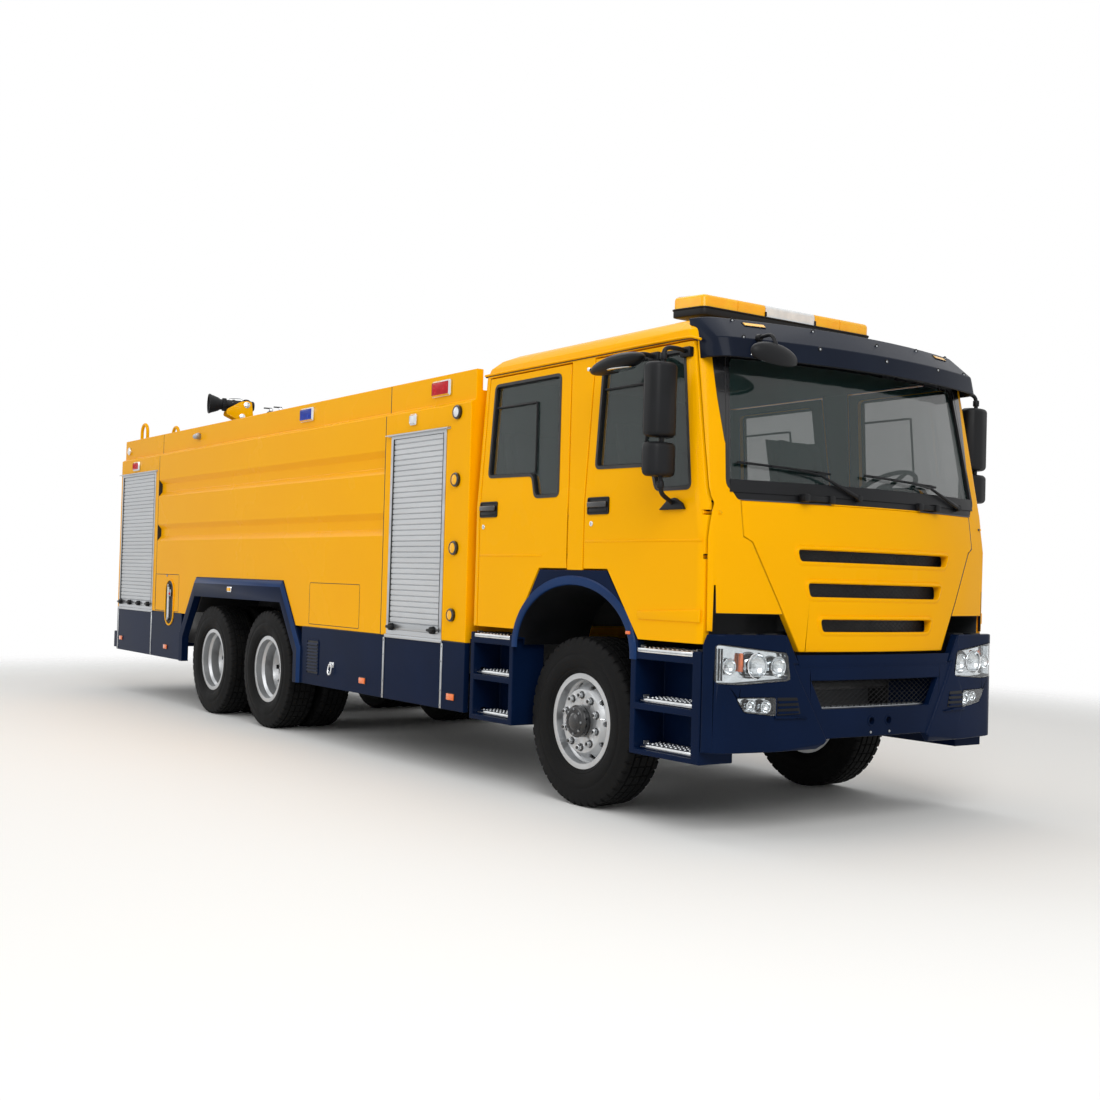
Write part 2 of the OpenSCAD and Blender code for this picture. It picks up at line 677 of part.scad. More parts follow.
module front_panel() {
    slots = [[1585, 1663, 672], [1380, 1470, 596], [1177, 1260, 498]];
    color(YELLOW) at_cab() difference() {
        intersection() {
            difference() {
                cab_solid(0, 60);
                cab_solid(panel_t, 65);
            }
            front_cut(panel_outline, 1100, 1700);
        }
        for (s = slots)
            front_cut(rounded([[25 - s[2], s[0]], [s[2] - 25, s[0]], [s[2], s[1]], [-s[2], s[1]]], 8), 1100, 1700);
    }
}
module panel_mesh() {
    color(BLACK) at_cab() intersection() {
        cab_layer(panel_t, panel_t + 10);
        front_cut(mirrored([[556, front_low + 8], [716, 1686]]), 1100, 1700);
    }
}
module scuttle_panel() {
    color(BLACK) at_cab() {
        intersection() {
            cab_layer(2, panel_t);
            front_cut(mirrored([[1028, 1932], [1058, 1980]]), 1100, 1700);
        }
    }
}
module windscreen() {
    color(GLASS) at_cab() intersection() {
        cab_layer(14, 14 + glass_t);
        front_cut(screen_outline, 900, 1700);
    }
}

visor_top = roof_z - 25;
visor_low = gutter_z - 120;
visor_bend = gutter_z - 5;
visor_t = 20;
visor_half = 1165;
visor_xf = 1430;
visor_back = 1060;
module visor_solid(inset, low, high) {
    hull() {
        translate([0, 0, low]) linear_extrude(0.01)
            polygon(plan(visor_half - inset, visor_xf - inset, visor_back, 140, 1, cab_bow));
        translate([0, 0, visor_bend]) linear_extrude(0.01)
            polygon(plan(visor_half - 5 - inset, visor_xf - 25 - inset, visor_back, 140, 1, cab_bow));
        translate([0, 0, high]) linear_extrude(0.01)
            polygon(plan(visor_half - 35 - inset, visor_xf - 190 - inset, visor_back - 100, 140, 1, cab_bow));
    }
}
module sun_visor() {
    color(NAVY) at_cab() difference() {
        visor_solid(0, visor_low, visor_top);
        visor_solid(visor_t, visor_low - 30, visor_top - visor_t);
        cab_solid(-fit_gap);
    }
}
cab_top = max(roof_z, gutter_z) + 0.01;
bar_x = 540;
bar_half = 815;
bar_depth = 250;
bar_under = 95;             // underside of the bar above the roof
bar_base_h = 55;
bar_lens_h = 80;
bar_foot_y = 530;
module light_bar() {
    base_z = cab_top + bar_under;
    lens_z = base_z + bar_base_h;
    color("#e8a020") at_cab() {
        both_sides() block([bar_x - 90, bar_foot_y, cab_top], [bar_x + 90, bar_foot_y + 120, base_z + 1]);
        translate([0, 0, base_z]) linear_extrude(bar_base_h)
            polygon(rounded([[bar_x - bar_depth / 2, -bar_half], [bar_x + bar_depth / 2, -bar_half + 60],
                [bar_x + bar_depth / 2, bar_half - 60], [bar_x - bar_depth / 2, bar_half]], 40));
        // lens with sloped front and rear
        side_cut([[bar_x - bar_depth / 2 + 8, lens_z - 1], [bar_x + bar_depth / 2 - 8, lens_z - 1],
            [bar_x + bar_depth / 2 - 30, lens_z + bar_lens_h], [bar_x - bar_depth / 2 + 30, lens_z + bar_lens_h]],
            -bar_half + 70, bar_half - 70);
    }
}
module front_mirror() {
    color(BLACK) at_cab() {
        difference() {
            union() {
                bent_bar([[1180, -985, visor_top - 50], [1440, -985, visor_top - 50], [1440, -985, visor_low + 5]], 14);
            }
            visor_solid(-fit_gap, visor_low, visor_top);
            cab_solid(-fit_gap);
        }
        side_cut(rounded([[1415, visor_low - 90], [1492, visor_low - 80], [1492, visor_low], [1415, visor_low + 40]], 25), -1160, -810);
    }
}

// Inside of the cab

module seat(x, y0, y1) {
    side_cut(rounded([[x - 40, floor_top + 230], [x + 470, floor_top + 260], [x + 470, floor_top + 430],
        [x + 60, floor_top + 410], [x - 60, floor_top + 980], [x - 190, floor_top + 960]], 40), y0, y1);
    block([x, y0 + 60, floor_top], [x + 400, y1 - 60, floor_top + 260]);
}
module seats() {
    color(STEEL) at_cab() {
        seat(180, -930, -430);
        seat(180, 430, 930);
        seat(-930, -1080, 1080);
    }
}
module dashboard() {
    wheel_at = [900, 660, 2090];
    color(BLACK) at_cab() {
        side_cut([[1040, 1750], [1040, 1900], [1120, 1955], [1235, 1955], [1235, 1700], [1150, 1640]], -1050, 1050);
        bar([1080, 660, 1850], wheel_at, 32);
        translate(wheel_at) rotate([0, -32, 0]) {
            rotate_extrude() translate([225, 0]) circle(15);
            rotate([0, 90, 0]) cylinder(r = 14, h = 440, center = true);
            cylinder(r = 60, h = 50, center = true);
        }
        block([1150, -60, floor_top], [firewall_x, 60, 1720]);
    }
}

// Doors

module door_skin(outline, s) {
    on_side(s) intersection() {
        cab_layer(0, cab_wall);
        difference() {
            side_cut(outline, -2000, -door_in);
            block([-2000, -cab_half + cab_wall + 1, 0], [2000, 0, belt_z - 20]);
        }
    }
}
module door(outline, window, hinge, edge, s) {
    color(YELLOW) at_cab() difference() {
        door_skin(outline, s);
        on_side(s) {
            side_cut(window, -2000, -900);
            hinge_room(hinge, edge);
        }
    }
}
module door_glass(window, s) {
    color(GLASS) at_cab() on_side(s) intersection() {
        cab_layer(20, 20 + glass_t);
        side_cut(window, -2000, -900);
    }
}
module mirror_arms() {
    skin = cab_half + 1;
    difference() {
        union() {
            bent_bar([[1030, -1150, 2790], [1060, -1400, 2770], [1080, -1400, 1930], [1150, -1230, 1880]], 14);
            // main and wide angle housings
            side_cut(rounded([[1000, 2270], [1105, 2275], [1110, 2690], [1000, 2700]], 30), -1500, -1295);
            side_cut(rounded([[1010, 2045], [1105, 2050], [1108, 2235], [1010, 2245]], 30), -1500, -1295);
        }
        cab_solid(-fit_gap);
    }
}
module mirrors_right() {
    color(BLACK) at_cab() {
        mirror_arms();
        difference() {
            bent_bar([[600, -1150, 2820], [600, -1390, 2850], [600, -1390, 2760]], 12);
            cab_solid(-fit_gap);
        }
        front_cut(rounded([[-1500, 2700], [-1290, 2730], [-1290, 2790], [-1500, 2770]], 20), 420, 790);
    }
}
module mirrors_left() {
    color(BLACK) at_cab() mirror([0, 1, 0]) mirror_arms();
}

// Wheel arches and steps beside the cab

arch_outer = [[-352, arch_top], [375, arch_top], [695, 1095], [695, 1040], [-650, 1040], [-625, 1095]];
arch_mid = [20, 1000];
arch_rx = 612;
arch_rz = 415;
arch_t = 12;
arch_in = 640;              // inner edge of the wheel housing
step_in = 985;              // back of the step housings
step_out = cab_half - 2;
step_top = 1062;
front_step = [640, 1268];
step_post = 73;             // width of the post ahead of the front treads
rear_step = [-1180, -640];
front_treads = [[455, 40], [730, 30], [1028, 0]];
rear_treads = [[485, 40], [768, 30], [1026, 0]];
tread_t = 28;

module step_box(x, low, treads, post) {
    difference() {
        block([x[0], -step_out, low], [x[1], -step_in, step_top]);
        // a niche above each tread, open outwards
        for (i = [0:len(treads) - 2])
            block([x[0] + 45, -2000, treads[i][0]], [x[1] - post, -step_in - 30, treads[i + 1][0] - 40]);
        block([x[0] + 45, -2000, treads[2][0]], [x[1] - post, -step_in - 30, 2000]);
    }
}
module arch_steps() {
    arch = concat(oval(arch_mid, arch_rx, arch_rz, 0, 180, 24), [[arch_mid[0] - arch_rx, 0], [arch_mid[0] + arch_rx, 0]]);
    liner = concat(oval(arch_mid, arch_rx + arch_t, arch_rz + arch_t, 0, 180, 24));
    color(NAVY) at_cab() both_sides() {
        difference() {
            union() {
                side_cut(arch_outer, -cab_half + 2, -cab_half + cab_wall);
                side_cut(liner, -cab_half + cab_wall - 2, -arch_in);
            }
            side_cut(arch, -2000, 0);
        }
        step_box(front_step, 425, front_treads, step_post);
        step_box(rear_step, 450, rear_treads, 45);
        // arms to the frame
        block([880, -step_in - 1, 760], [960, -rail_y, 840]);
        block([-960, -step_in - 1, 760], [-880, -rail_y, 840]);
    }
}
module step_treads() {
    color(ALU) at_cab() both_sides() {
        for (t = front_treads)
            block([front_step[0] + 58, -step_out - 1 + t[1], t[0]], [front_step[1] - step_post - 2, -step_in - 31, t[0] + tread_t]);
        for (t = rear_treads)
            block([rear_step[0] + 47, -step_out - 1 + t[1], t[0]], [rear_step[1] - 47, -step_in - 31, t[0] + tread_t]);
    }
}

// Body

crease_z = body_top - 240;
crease_in = 40;             // set-back of the upper panel
groove_low = [1755, 1935];
groove_high = [2245, 2430];
lip = 50;                   // height of the slanted groove lips
side_t = 50;
parapet_t = 55;
function groove(g) = [[half_w, g[0]], [half_w - groove_depth, g[0] + lip], [half_w - groove_depth, g[1] - lip], [half_w, g[1]]];
side_low = [[half_w - side_t, frame_top], [half_w - side_t, skirt_top], [half_w, skirt_top]];
side_high = [[half_w, crease_z], [half_w - crease_in, crease_z + 22], [half_w - crease_in, body_top],
    [half_w - crease_in - parapet_t, body_top], [half_w - crease_in - parapet_t, deck_z]];
plain_section = mirrored(concat(side_low, side_high));
tank_section = mirrored(concat(side_low, groove(groove_low), groove(groove_high), side_high));
// Shutter openings: rear end, front end, bottom, top
shutter_low = skirt_top + 10;
shutter_high = crease_z - 160;
corner_post = 335;          // width of the post between the cab and the front shutter
front_shutter = [x_seam_front + 100, x_body - corner_post, shutter_low, shutter_high];
rear_shutter = [x_rear + 50, x_seam_rear - 100, shutter_low, shutter_high];
back_shutter = [-430, 960, shutter_low, shutter_high];
trim_outer = [[-1500, skirt_bottom], [-1500, 790], [-1080, 1366], [1080, 1366], [1500, 790], [1500, skirt_bottom]];
trim_inner = [[-1390, 0], [-1390, 735], [-1070, 1172], [1070, 1172], [1390, 735], [1390, 0]];
well_in = 540;              // inner side of the rear wheel housings
module at_bogie() {
    translate([x_bogie, 0, 0]) children();
}

module superstructure() {
    low = frame_top + body_wall;
    high = deck_z - body_wall;
    color(YELLOW) {
        // front locker
        difference() {
            front_cut(plain_section, x_seam_front + seam / 2, x_body);
            block([x_seam_front + seam / 2 + body_wall, -half_w + body_wall, low], [x_body - body_wall, half_w - body_wall, high]);
            block([front_shutter[0], -2000, front_shutter[2]], [front_shutter[1], -half_w + body_wall + 1, front_shutter[3]]);
            block([front_shutter[0], half_w - body_wall - 1, front_shutter[2]], [front_shutter[1], 2000, front_shutter[3]]);
        }
        // tank
        difference() {
            front_cut(tank_section, x_seam_rear + seam / 2, x_seam_front - seam / 2);
            both_sides() at_bogie() {
                side_cut(trim_outer, -2000, -half_w + side_t);
                side_cut(trim_inner, -2000, -well_in);
            }
        }
        // pump room
        difference() {
            front_cut(plain_section, x_rear, x_seam_rear - seam / 2);
            block([x_rear + body_wall, -half_w + body_wall, low], [x_seam_rear - seam / 2 - body_wall, half_w - body_wall, high]);
            block([rear_shutter[0], -2000, rear_shutter[2]], [rear_shutter[1], -half_w + body_wall + 1, rear_shutter[3]]);
            block([rear_shutter[0], half_w - body_wall - 1, rear_shutter[2]], [rear_shutter[1], 2000, rear_shutter[3]]);
            block([x_rear - 1, back_shutter[0], back_shutter[2]], [x_rear + body_wall + 1, back_shutter[1], back_shutter[3]]);
        }
    }
}

skirt_t = 44;
flap_pin_r = 8;
flap_pin_z = skirt_bottom + skirt_t / 2;
flap_pin_y = -half_w + skirt_t / 2;
front_flap = [x_seam_front + 80, x_body - corner_post];
rear_flap = [x_rear + 60, x_seam_rear - 120];
module side_skirts() {
    color(NAVY) both_sides() {
        pieces = [[front_flap[1], x_body], [x_bogie + 1500, front_flap[0]], [rear_flap[1], x_bogie - 1500], [x_rear, rear_flap[0]]];
        for (p = pieces) block([p[0], -half_w, skirt_bottom], [p[1], -half_w + skirt_t, skirt_top]);
        for (f = [front_flap, rear_flap]) rod_x(flap_pin_y, flap_pin_z, flap_pin_r, f[0] - 1, f[1] + 1);
        at_bogie() difference() {
            side_cut(trim_outer, -half_w - 12, -half_w + skirt_t);
            side_cut(trim_inner, -2000, 0);
        }
    }
}
module flap(f, s) {
    color(NAVY) on_side(s) difference() {
        block([f[0] + move_gap, -half_w, skirt_bottom], [f[1] - move_gap, -half_w + skirt_t, skirt_top - move_gap]);
        rod_x(flap_pin_y, flap_pin_z, flap_pin_r + run_gap, f[0] - 10, f[1] + 10);
    }
}

frame_bar = 38;             // width of the shutter rails
curtain_t = 14;
// Roller shutter in the XZ plane, outside towards -Y, between four edges
module shutter(o, face) {
    n = floor((o[3] - o[2] - 2 * frame_bar) / slat_h);
    high = o[3] - frame_bar;
    rib = [for (i = [0:n - 1]) each [[-face + curtain_t, high - i * slat_h], [-face + 4, high - i * slat_h - 6],
        [-face + 4, high - (i + 1) * slat_h + 6]]];
    slats = concat([[-face + curtain_t + 14, high]], rib,
        [[-face + 4, o[2] + frame_bar], [-face + curtain_t + 14, o[2] + frame_bar]]);
    difference() {
        block([o[0], -face - 3, o[2]], [o[1], -face + 50, o[3]]);
        block([o[0] + frame_bar, -2000, o[2] + frame_bar], [o[1] - frame_bar, 2000, o[3] - frame_bar]);
    }
    front_cut(slats, o[0] + frame_bar - 1, o[1] - frame_bar + 1);
}
module roller_shutters() {
    color(ALU) {
        both_sides() {
            shutter(front_shutter, half_w);
            shutter(rear_shutter, half_w);
        }
        rotate([0, 0, -90]) shutter([-back_shutter[1], -back_shutter[0], back_shutter[2], back_shutter[3]], -x_rear);
    }
}
lamp_out = 30;
module body_lamps() {
    flat_y = half_w;
    high_y = half_w - crease_in;
    color("#c03020") both_sides() {
        for (l = [[x_body - 610, x_body - 340], [x_seam_front - 1670, x_seam_front - 1405]])
            block([l[0], -high_y - lamp_out, body_top - 160], [l[1], -high_y, body_top - 40]);
        block([x_body - 870, -flat_y - lamp_out, crease_z - 110], [x_body - 770, -flat_y, crease_z - 25]);
        block([x_rear + 460, -flat_y - lamp_out, crease_z - 135], [x_rear + 680, -flat_y, crease_z - 35]);
        rod_y(x_rear + 170, body_top - 125, 45, -high_y - lamp_out, -high_y);
        for (z = [1654, 2149, 2640]) rod_y(x_body - 177, z, 48, -flat_y - lamp_out, -flat_y);
        rod_y(x_body - 190, 1168, 34, -flat_y - lamp_out, -flat_y);
    }
}
rear_bumper_z = [500, 690];
rear_bumper_gap = 6;        // between the rear bumper and the body
module rear_bumper() {
    back = x_rear - rear_bumper_reach;
    color(NAVY) {
        difference() {
            block([back, -half_w + 10, rear_bumper_z[0]], [x_rear - rear_bumper_gap, half_w - 10, rear_bumper_z[1]]);
            // lamp pockets
            both_sides() block([back - 1, -half_w + 60, rear_bumper_z[0] + 40], [back + 30, -half_w + 560, rear_bumper_z[1] - 40]);
            // tow eye bore
            translate([x_rear - rear_bumper_reach / 2, 0, 0]) cylinder(r = 25, h = 2000);
        }
    }
}
ladder_y = [-1000, -620];
ladder_out = 75;
hoop_r = 100;
hoop_z = body_top + 125;
module rear_ladder() {
    x = x_rear - ladder_out;
    color(YELLOW) {
        for (y = ladder_y) translate([x, y, 0]) {
            translate([0, 0, rear_bumper_z[1]]) cylinder(r = 19, h = hoop_z - rear_bumper_z[1]);
            translate([hoop_r, 0, hoop_z]) rotate([90, 0, 0]) rotate_extrude(angle = 180) translate([hoop_r, 0]) circle(19);
            translate([2 * hoop_r, 0, deck_z]) cylinder(r = 19, h = hoop_z - deck_z);
            for (z = [1150, 2500]) rod_x(0, z, 14, 0, ladder_out);
        }
        for (z = [900:300:2850]) rod_y(x, z, 15, ladder_y[0], ladder_y[1]);
    }
}

// Roof monitor

monitor_x = x_seam_rear - 170;
monitor_y = -200;
monitor_turn = -102.7;      // rest direction of the barrel
collar_z = deck_z + 285;
monitor_axis_z = collar_z + 290;
spigot_r = 55;
fork_in = 80;
fork_t = 24;
trunnion_r = 22;
module at_monitor() {
    translate([monitor_x, monitor_y, 0]) rotate([0, 0, monitor_turn]) children();
}
module monitor_base() {
    color(BLACK) at_monitor() {
        translate([0, 0, deck_z]) cylinder(r = 130, h = 20);
        translate([0, 0, deck_z]) cylinder(r = 75, h = collar_z - deck_z);
        translate([0, 0, collar_z - 10]) cylinder(r = spigot_r, h = 80);
    }
}
module monitor_swivel() {
    color(YELLOW) at_monitor() {
        difference() {
            translate([0, 0, collar_z + 1]) cylinder(r = 88, h = 84);
            translate([0, 0, collar_z - 10]) cylinder(r = spigot_r + run_gap, h = 86);
        }
        block([-70, -fork_in - fork_t, collar_z + 80], [70, fork_in + fork_t, collar_z + 110]);
        both_sides() difference() {
            union() {
                block([-50, -fork_in - fork_t, collar_z + 80], [50, -fork_in, monitor_axis_z]);
                rod_y(0, monitor_axis_z, 50, -fork_in - fork_t, -fork_in);
            }
            rod_y(0, monitor_axis_z, trunnion_r + run_gap, -200, 0);
        }
    }
}
module monitor_barrel() {
    color(BLACK) at_monitor() {
        rod_y(0, monitor_axis_z, trunnion_r, -fork_in - fork_t, fork_in + fork_t);
        rod_y(0, monitor_axis_z, 70, -fork_in + 6, fork_in - 6);
        difference() {
            union() {
                rod_x(0, monitor_axis_z, 58, -100, 300);
                translate([290, 0, monitor_axis_z]) rotate([0, 90, 0]) cylinder(r1 = 58, r2 = 96, h = 130);
            }
            rod_x(0, monitor_axis_z, 40, 200, 500);
            translate([300, 0, monitor_axis_z]) rotate([0, 90, 0]) cylinder(r1 = 40, r2 = 84, h = 121);
        }
    }
}

chassis_frame();
front_axle();
rear_axles();
leaf_springs();
engine();
drive_shafts();
front_bumper();
bumper_mesh();
headlamps();
arch_steps();
step_treads();
superstructure();
side_skirts();
roller_shutters();
body_lamps();
rear_bumper();
rear_ladder();
monitor_base();
monitor_swivel();
monitor_barrel();
cab_shell();
front_panel();
panel_mesh();
scuttle_panel();
windscreen();
sun_visor();
light_bar();
front_mirror();
seats();
dashboard();
door(front_door, front_window, front_hinge, front_door_edge, RIGHT);  // door_front_right
door(front_door, front_window, front_hinge, front_door_edge, LEFT);  // door_front_left
door(rear_door, rear_window, rear_hinge, rear_door_edge, RIGHT);  // door_rear_right
door(rear_door, rear_window, rear_hinge, rear_door_edge, LEFT);  // door_rear_left
door_glass(front_window, RIGHT);  // glass_front_right
door_glass(front_window, LEFT);  // glass_front_left
door_glass(rear_window, RIGHT);  // glass_rear_right
door_glass(rear_window, LEFT);  // glass_rear_left
mirrors_right();
mirrors_left();
flap(front_flap, RIGHT);  // flap_front_right
flap(front_flap, LEFT);  // flap_front_left
flap(rear_flap, RIGHT);  // flap_rear_right
flap(rear_flap, LEFT);  // flap_rear_left
knuckle(RIGHT);  // knuckle_right
knuckle(LEFT);  // knuckle_left
color(BLACK) front_place(RIGHT) tyre(0);  // front_tyre_right
color(BLACK) front_place(LEFT) tyre(0);  // front_tyre_left
color(ALU) front_place(RIGHT) front_rim();  // front_rim_right
color(ALU) front_place(LEFT) front_rim();  // front_rim_left
color(BLACK) rear_place(x_ra1, RIGHT) rear_tyres();  // rear_tyres_1_right
color(BLACK) rear_place(x_ra1, LEFT) rear_tyres();  // rear_tyres_1_left
color(BLACK) rear_place(x_ra2, RIGHT) rear_tyres();  // rear_tyres_2_right
color(BLACK) rear_place(x_ra2, LEFT) rear_tyres();  // rear_tyres_2_left
color(ALU) rear_place(x_ra1, RIGHT) rear_rims();  // rear_rims_1_right
color(ALU) rear_place(x_ra1, LEFT) rear_rims();  // rear_rims_1_left
color(ALU) rear_place(x_ra2, RIGHT) rear_rims();  // rear_rims_2_right
color(ALU) rear_place(x_ra2, LEFT) rear_rims();  // rear_rims_2_left
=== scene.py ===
import json
import math

import bmesh
import bpy
from mathutils import Matrix, Vector


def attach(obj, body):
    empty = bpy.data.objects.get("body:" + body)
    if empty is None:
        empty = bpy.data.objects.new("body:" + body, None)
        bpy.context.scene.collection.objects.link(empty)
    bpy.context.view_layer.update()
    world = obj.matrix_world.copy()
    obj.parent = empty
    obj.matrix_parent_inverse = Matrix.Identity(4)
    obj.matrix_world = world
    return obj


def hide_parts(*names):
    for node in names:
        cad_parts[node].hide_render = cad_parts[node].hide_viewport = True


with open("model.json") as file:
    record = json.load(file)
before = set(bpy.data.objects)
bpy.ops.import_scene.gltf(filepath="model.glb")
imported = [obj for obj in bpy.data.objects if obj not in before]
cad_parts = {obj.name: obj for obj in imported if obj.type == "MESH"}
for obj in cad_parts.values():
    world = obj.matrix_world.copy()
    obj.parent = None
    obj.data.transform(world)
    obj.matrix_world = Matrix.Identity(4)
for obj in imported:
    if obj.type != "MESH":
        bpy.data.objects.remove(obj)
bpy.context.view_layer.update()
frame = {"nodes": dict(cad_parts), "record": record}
scene = bpy.context.scene
scene.view_settings.view_transform = "Standard"
axleX = 3.89  # front axle; pieces are drawn with X measured from it
right, left = -1, 1
sideName = {right: "right", left: "left"}


def linear(code):  # sRGB hex to linear colour
    parts = [int(code[i:i + 2], 16) / 255 for i in (1, 3, 5)]
    return [c / 12.92 if c <= 0.04045 else ((c + 0.055) / 1.055) ** 2.4 for c in parts] + [1.0]


def addNode(tree, kind, inputs=None, **settings):
    node = tree.nodes.new(kind)
    for key, value in settings.items():
        setattr(node, key, value)
    for key, value in (inputs or {}).items():
        if isinstance(value, bpy.types.NodeSocket):
            tree.links.new(value, node.inputs[key])
        else:
            node.inputs[key].default_value = value
    return node


# Camera where the photographer stood: place, turn and lens fitted to the wheels and corners
cameraSettings = dict(place=(axleX + 6.98464, -6.30965, 1.44922), yaw=144.8287, pitch=1.0682, roll=1.5665,
                      lens=44.235, shift=(-0.0023, 0.0034))


def makeCamera(c):
    yaw, pitch, roll = (math.radians(c[k]) for k in ("yaw", "pitch", "roll"))
    ahead = Vector((math.cos(pitch) * math.cos(yaw), math.cos(pitch) * math.sin(yaw), math.sin(pitch)))
    flat = ahead.cross(Vector((0, 0, 1))).normalized()
    up = flat.cross(ahead)
    across = math.cos(roll) * flat + math.sin(roll) * up
    above = -math.sin(roll) * flat + math.cos(roll) * up
    data = bpy.data.cameras.new("photo_camera")
    data.lens, data.sensor_width = c["lens"], 36
    data.shift_x, data.shift_y = c["shift"]
    data.clip_end = 200
    camera = bpy.data.objects.new("photo_camera", data)
    turn = Matrix((across, above, -ahead)).transposed().to_4x4()
    camera.matrix_world = Matrix.Translation(c["place"]) @ turn
    scene.collection.objects.link(camera)
    scene.camera = camera


makeCamera(cameraSettings)
print("camera set")


# Finishes: two colours that a mottle runs between, a roughness range, and the sizes of mottle and grain in mm
def makeFinish(name, colours, rough, mottle=400, grain=3.0, bump=0.05, stretch=(1, 1, 1), **sockets):
    material = bpy.data.materials.new(name)
    material.use_nodes = True
    tree = material.node_tree
    shader = tree.nodes["Principled BSDF"]
    place = addNode(tree, "ShaderNodeTexCoord").outputs["Object"]
    if stretch != (1, 1, 1):
        place = addNode(tree, "ShaderNodeMapping", {"Vector": place, "Scale": stretch}).outputs["Vector"]
    cloud = addNode(tree, "ShaderNodeTexNoise", {"Vector": place, "Scale": 1000 / mottle, "Detail": 4.0})
    ramp = addNode(tree, "ShaderNodeValToRGB", {"Fac": cloud.outputs["Fac"]})
    ramp.color_ramp.elements[0].position, ramp.color_ramp.elements[1].position = 0.35, 0.65
    ramp.color_ramp.elements[0].color, ramp.color_ramp.elements[1].color = linear(colours[0]), linear(colours[1])
    spread = addNode(tree, "ShaderNodeMapRange", {"Value": cloud.outputs["Fac"], "From Min": 0.3, "From Max": 0.7,
                                                  "To Min": rough[0], "To Max": rough[1]})
    tree.links.new(ramp.outputs["Color"], shader.inputs["Base Color"])
    tree.links.new(spread.outputs["Result"], shader.inputs["Roughness"])
    if bump:
        fine = addNode(tree, "ShaderNodeTexNoise", {"Vector": place, "Scale": 1000 / grain, "Detail": 3.0})
        relief = addNode(tree, "ShaderNodeBump", {"Height": fine.outputs["Fac"], "Strength": bump,
                                                  "Distance": grain / 1000})
        tree.links.new(relief.outputs["Normal"], shader.inputs["Normal"])
    for key, value in sockets.items():
        shader.inputs[key.replace("_", " ")].default_value = value
    return material


# Two-pack enamel sprayed and polished: deep, even colour under a thin clear gloss
yellow = makeFinish("chrome_yellow_enamel_sprayed", ("#feb300", "#ffb600"), (0.26, 0.28), 900, 9, 0,
                    Specular_IOR_Level=0.02, Coat_Weight=0.07, Coat_Roughness=0.03)
navy = makeFinish("navy_enamel_sprayed", ("#081731", "#0a1b39"), (0.28, 0.32), 700, 9, 0,
                  Specular_IOR_Level=0.02, Coat_Weight=0.06, Coat_Roughness=0.04)
# Painted highlight: a lighter blue on the rolled arch lips and on the sloping bevel of the rear arch trim, standing for
# light caught along those edges
navyPaintedHighlight = makeFinish("navy_enamel_painted_highlight", ("#152f5a", "#1a3663"), (0.28, 0.38), 500, 9, 0.02,
                      Specular_IOR_Level=0.06, Coat_Weight=0.05)
# ABS vacuum formed for the visor: slate, soft sheen and a fine moulded grain
visorAbs = makeFinish("slate_abs_formed", ("#121826", "#171e2c"), (0.3, 0.38), 500, 1.6, 0.04,
                      Specular_IOR_Level=0.04, Coat_Weight=0.06, Coat_Roughness=0.08)
# Black ABS moulded with a leather-like grain
blackAbs = makeFinish("black_abs_moulded", ("#0e0f11", "#141518"), (0.4, 0.54), 250, 1.4, 0.1,
                      Specular_IOR_Level=0.2)
# The same plastic polished: sharp highlights
glossAbs = makeFinish("black_abs_gloss", ("#0f1012", "#141518"), (0.2, 0.3), 300, 2, 0.03, Coat_Weight=0.4)
# EPDM rubber extruded: dull, nearly black
sealRubber = makeFinish("epdm_seal_extruded", ("#0e0e0f", "#151516"), (0.55, 0.7), 80, 1.0, 0.1)
# Tyre rubber cured in the mould, greyed by dust on the tread
tyreRubber = makeFinish("tyre_rubber_moulded", ("#0f0f10", "#171717"), (0.58, 0.76), 120, 2.5, 0.2,
                        Specular_IOR_Level=0.1)
# Steel wheels sprayed silver: metal flake under lacquer
wheelSilver = makeFinish("wheel_silver_sprayed", ("#b4b6b8", "#c3c5c7"), (0.28, 0.4), 150, 1.2, 0.06, Metallic=0.75,
                         Coat_Weight=0.3)
# Aluminium slats, lacquered satin
slatAluminium = makeFinish("slat_aluminium_lacquered", ("#c0c3c6", "#c6c9cc"), (0.46, 0.5), 900, 1.5, 0.02, (1, 1, 6),
                           Metallic=0.25)
# Extruded aluminium, anodised: fine draw lines along the length
railAluminium = makeFinish("rail_aluminium_anodised", ("#a9acaf", "#bcbfc2"), (0.28, 0.42), 120, 1.0, 0.06,
                           (0.08, 1, 1), Metallic=0.9)
# Rolled tread plate, bare: bright and worn
deckPlate = makeFinish("deck_aluminium_rolled", ("#a2a5a8", "#abaeb1"), (0.42, 0.52), 600, 14, 0.35, Metallic=0.6)
# Plated brass and steel: a near mirror, and a duller grey for bolts
chrome = makeFinish("trim_chrome_plated", ("#d5d8da", "#e2e4e6"), (0.06, 0.14), 60, 2, 0.01, Metallic=1.0)
zincSteel = makeFinish("bolt_steel_zinc_plated", ("#8d9094", "#a4a7aa"), (0.3, 0.45), 30, 0.8, 0.08, Metallic=0.9)
# Brushed chassis paint and painted castings: dull, rough to the eye
chassisBlack = makeFinish("chassis_black_brushed_on", ("#141517", "#1d1e20"), (0.45, 0.65), 200, 4, 0.12)
castIron = makeFinish("cast_iron_painted", ("#2b2d30", "#383a3d"), (0.5, 0.7), 120, 2.5, 0.3, Metallic=0.3)
# Powder coat on woven wire: even satin black
wireBlack = makeFinish("grille_wire_powder_coated", ("#0b0b0c", "#121213"), (0.4, 0.55), 100, 1.0, 0.08)
# Moulded trim and felted lining: soft greys without a highlight
cabinTrim = makeFinish("cabin_trim_moulded", ("#3a3c3e", "#46484a"), (0.5, 0.65), 300, 1.2, 0.15)
cabinFelt = makeFinish("cabin_headlining_felted", ("#6b6d6c", "#767876"), (0.8, 0.95), 100, 0.8, 0.3)
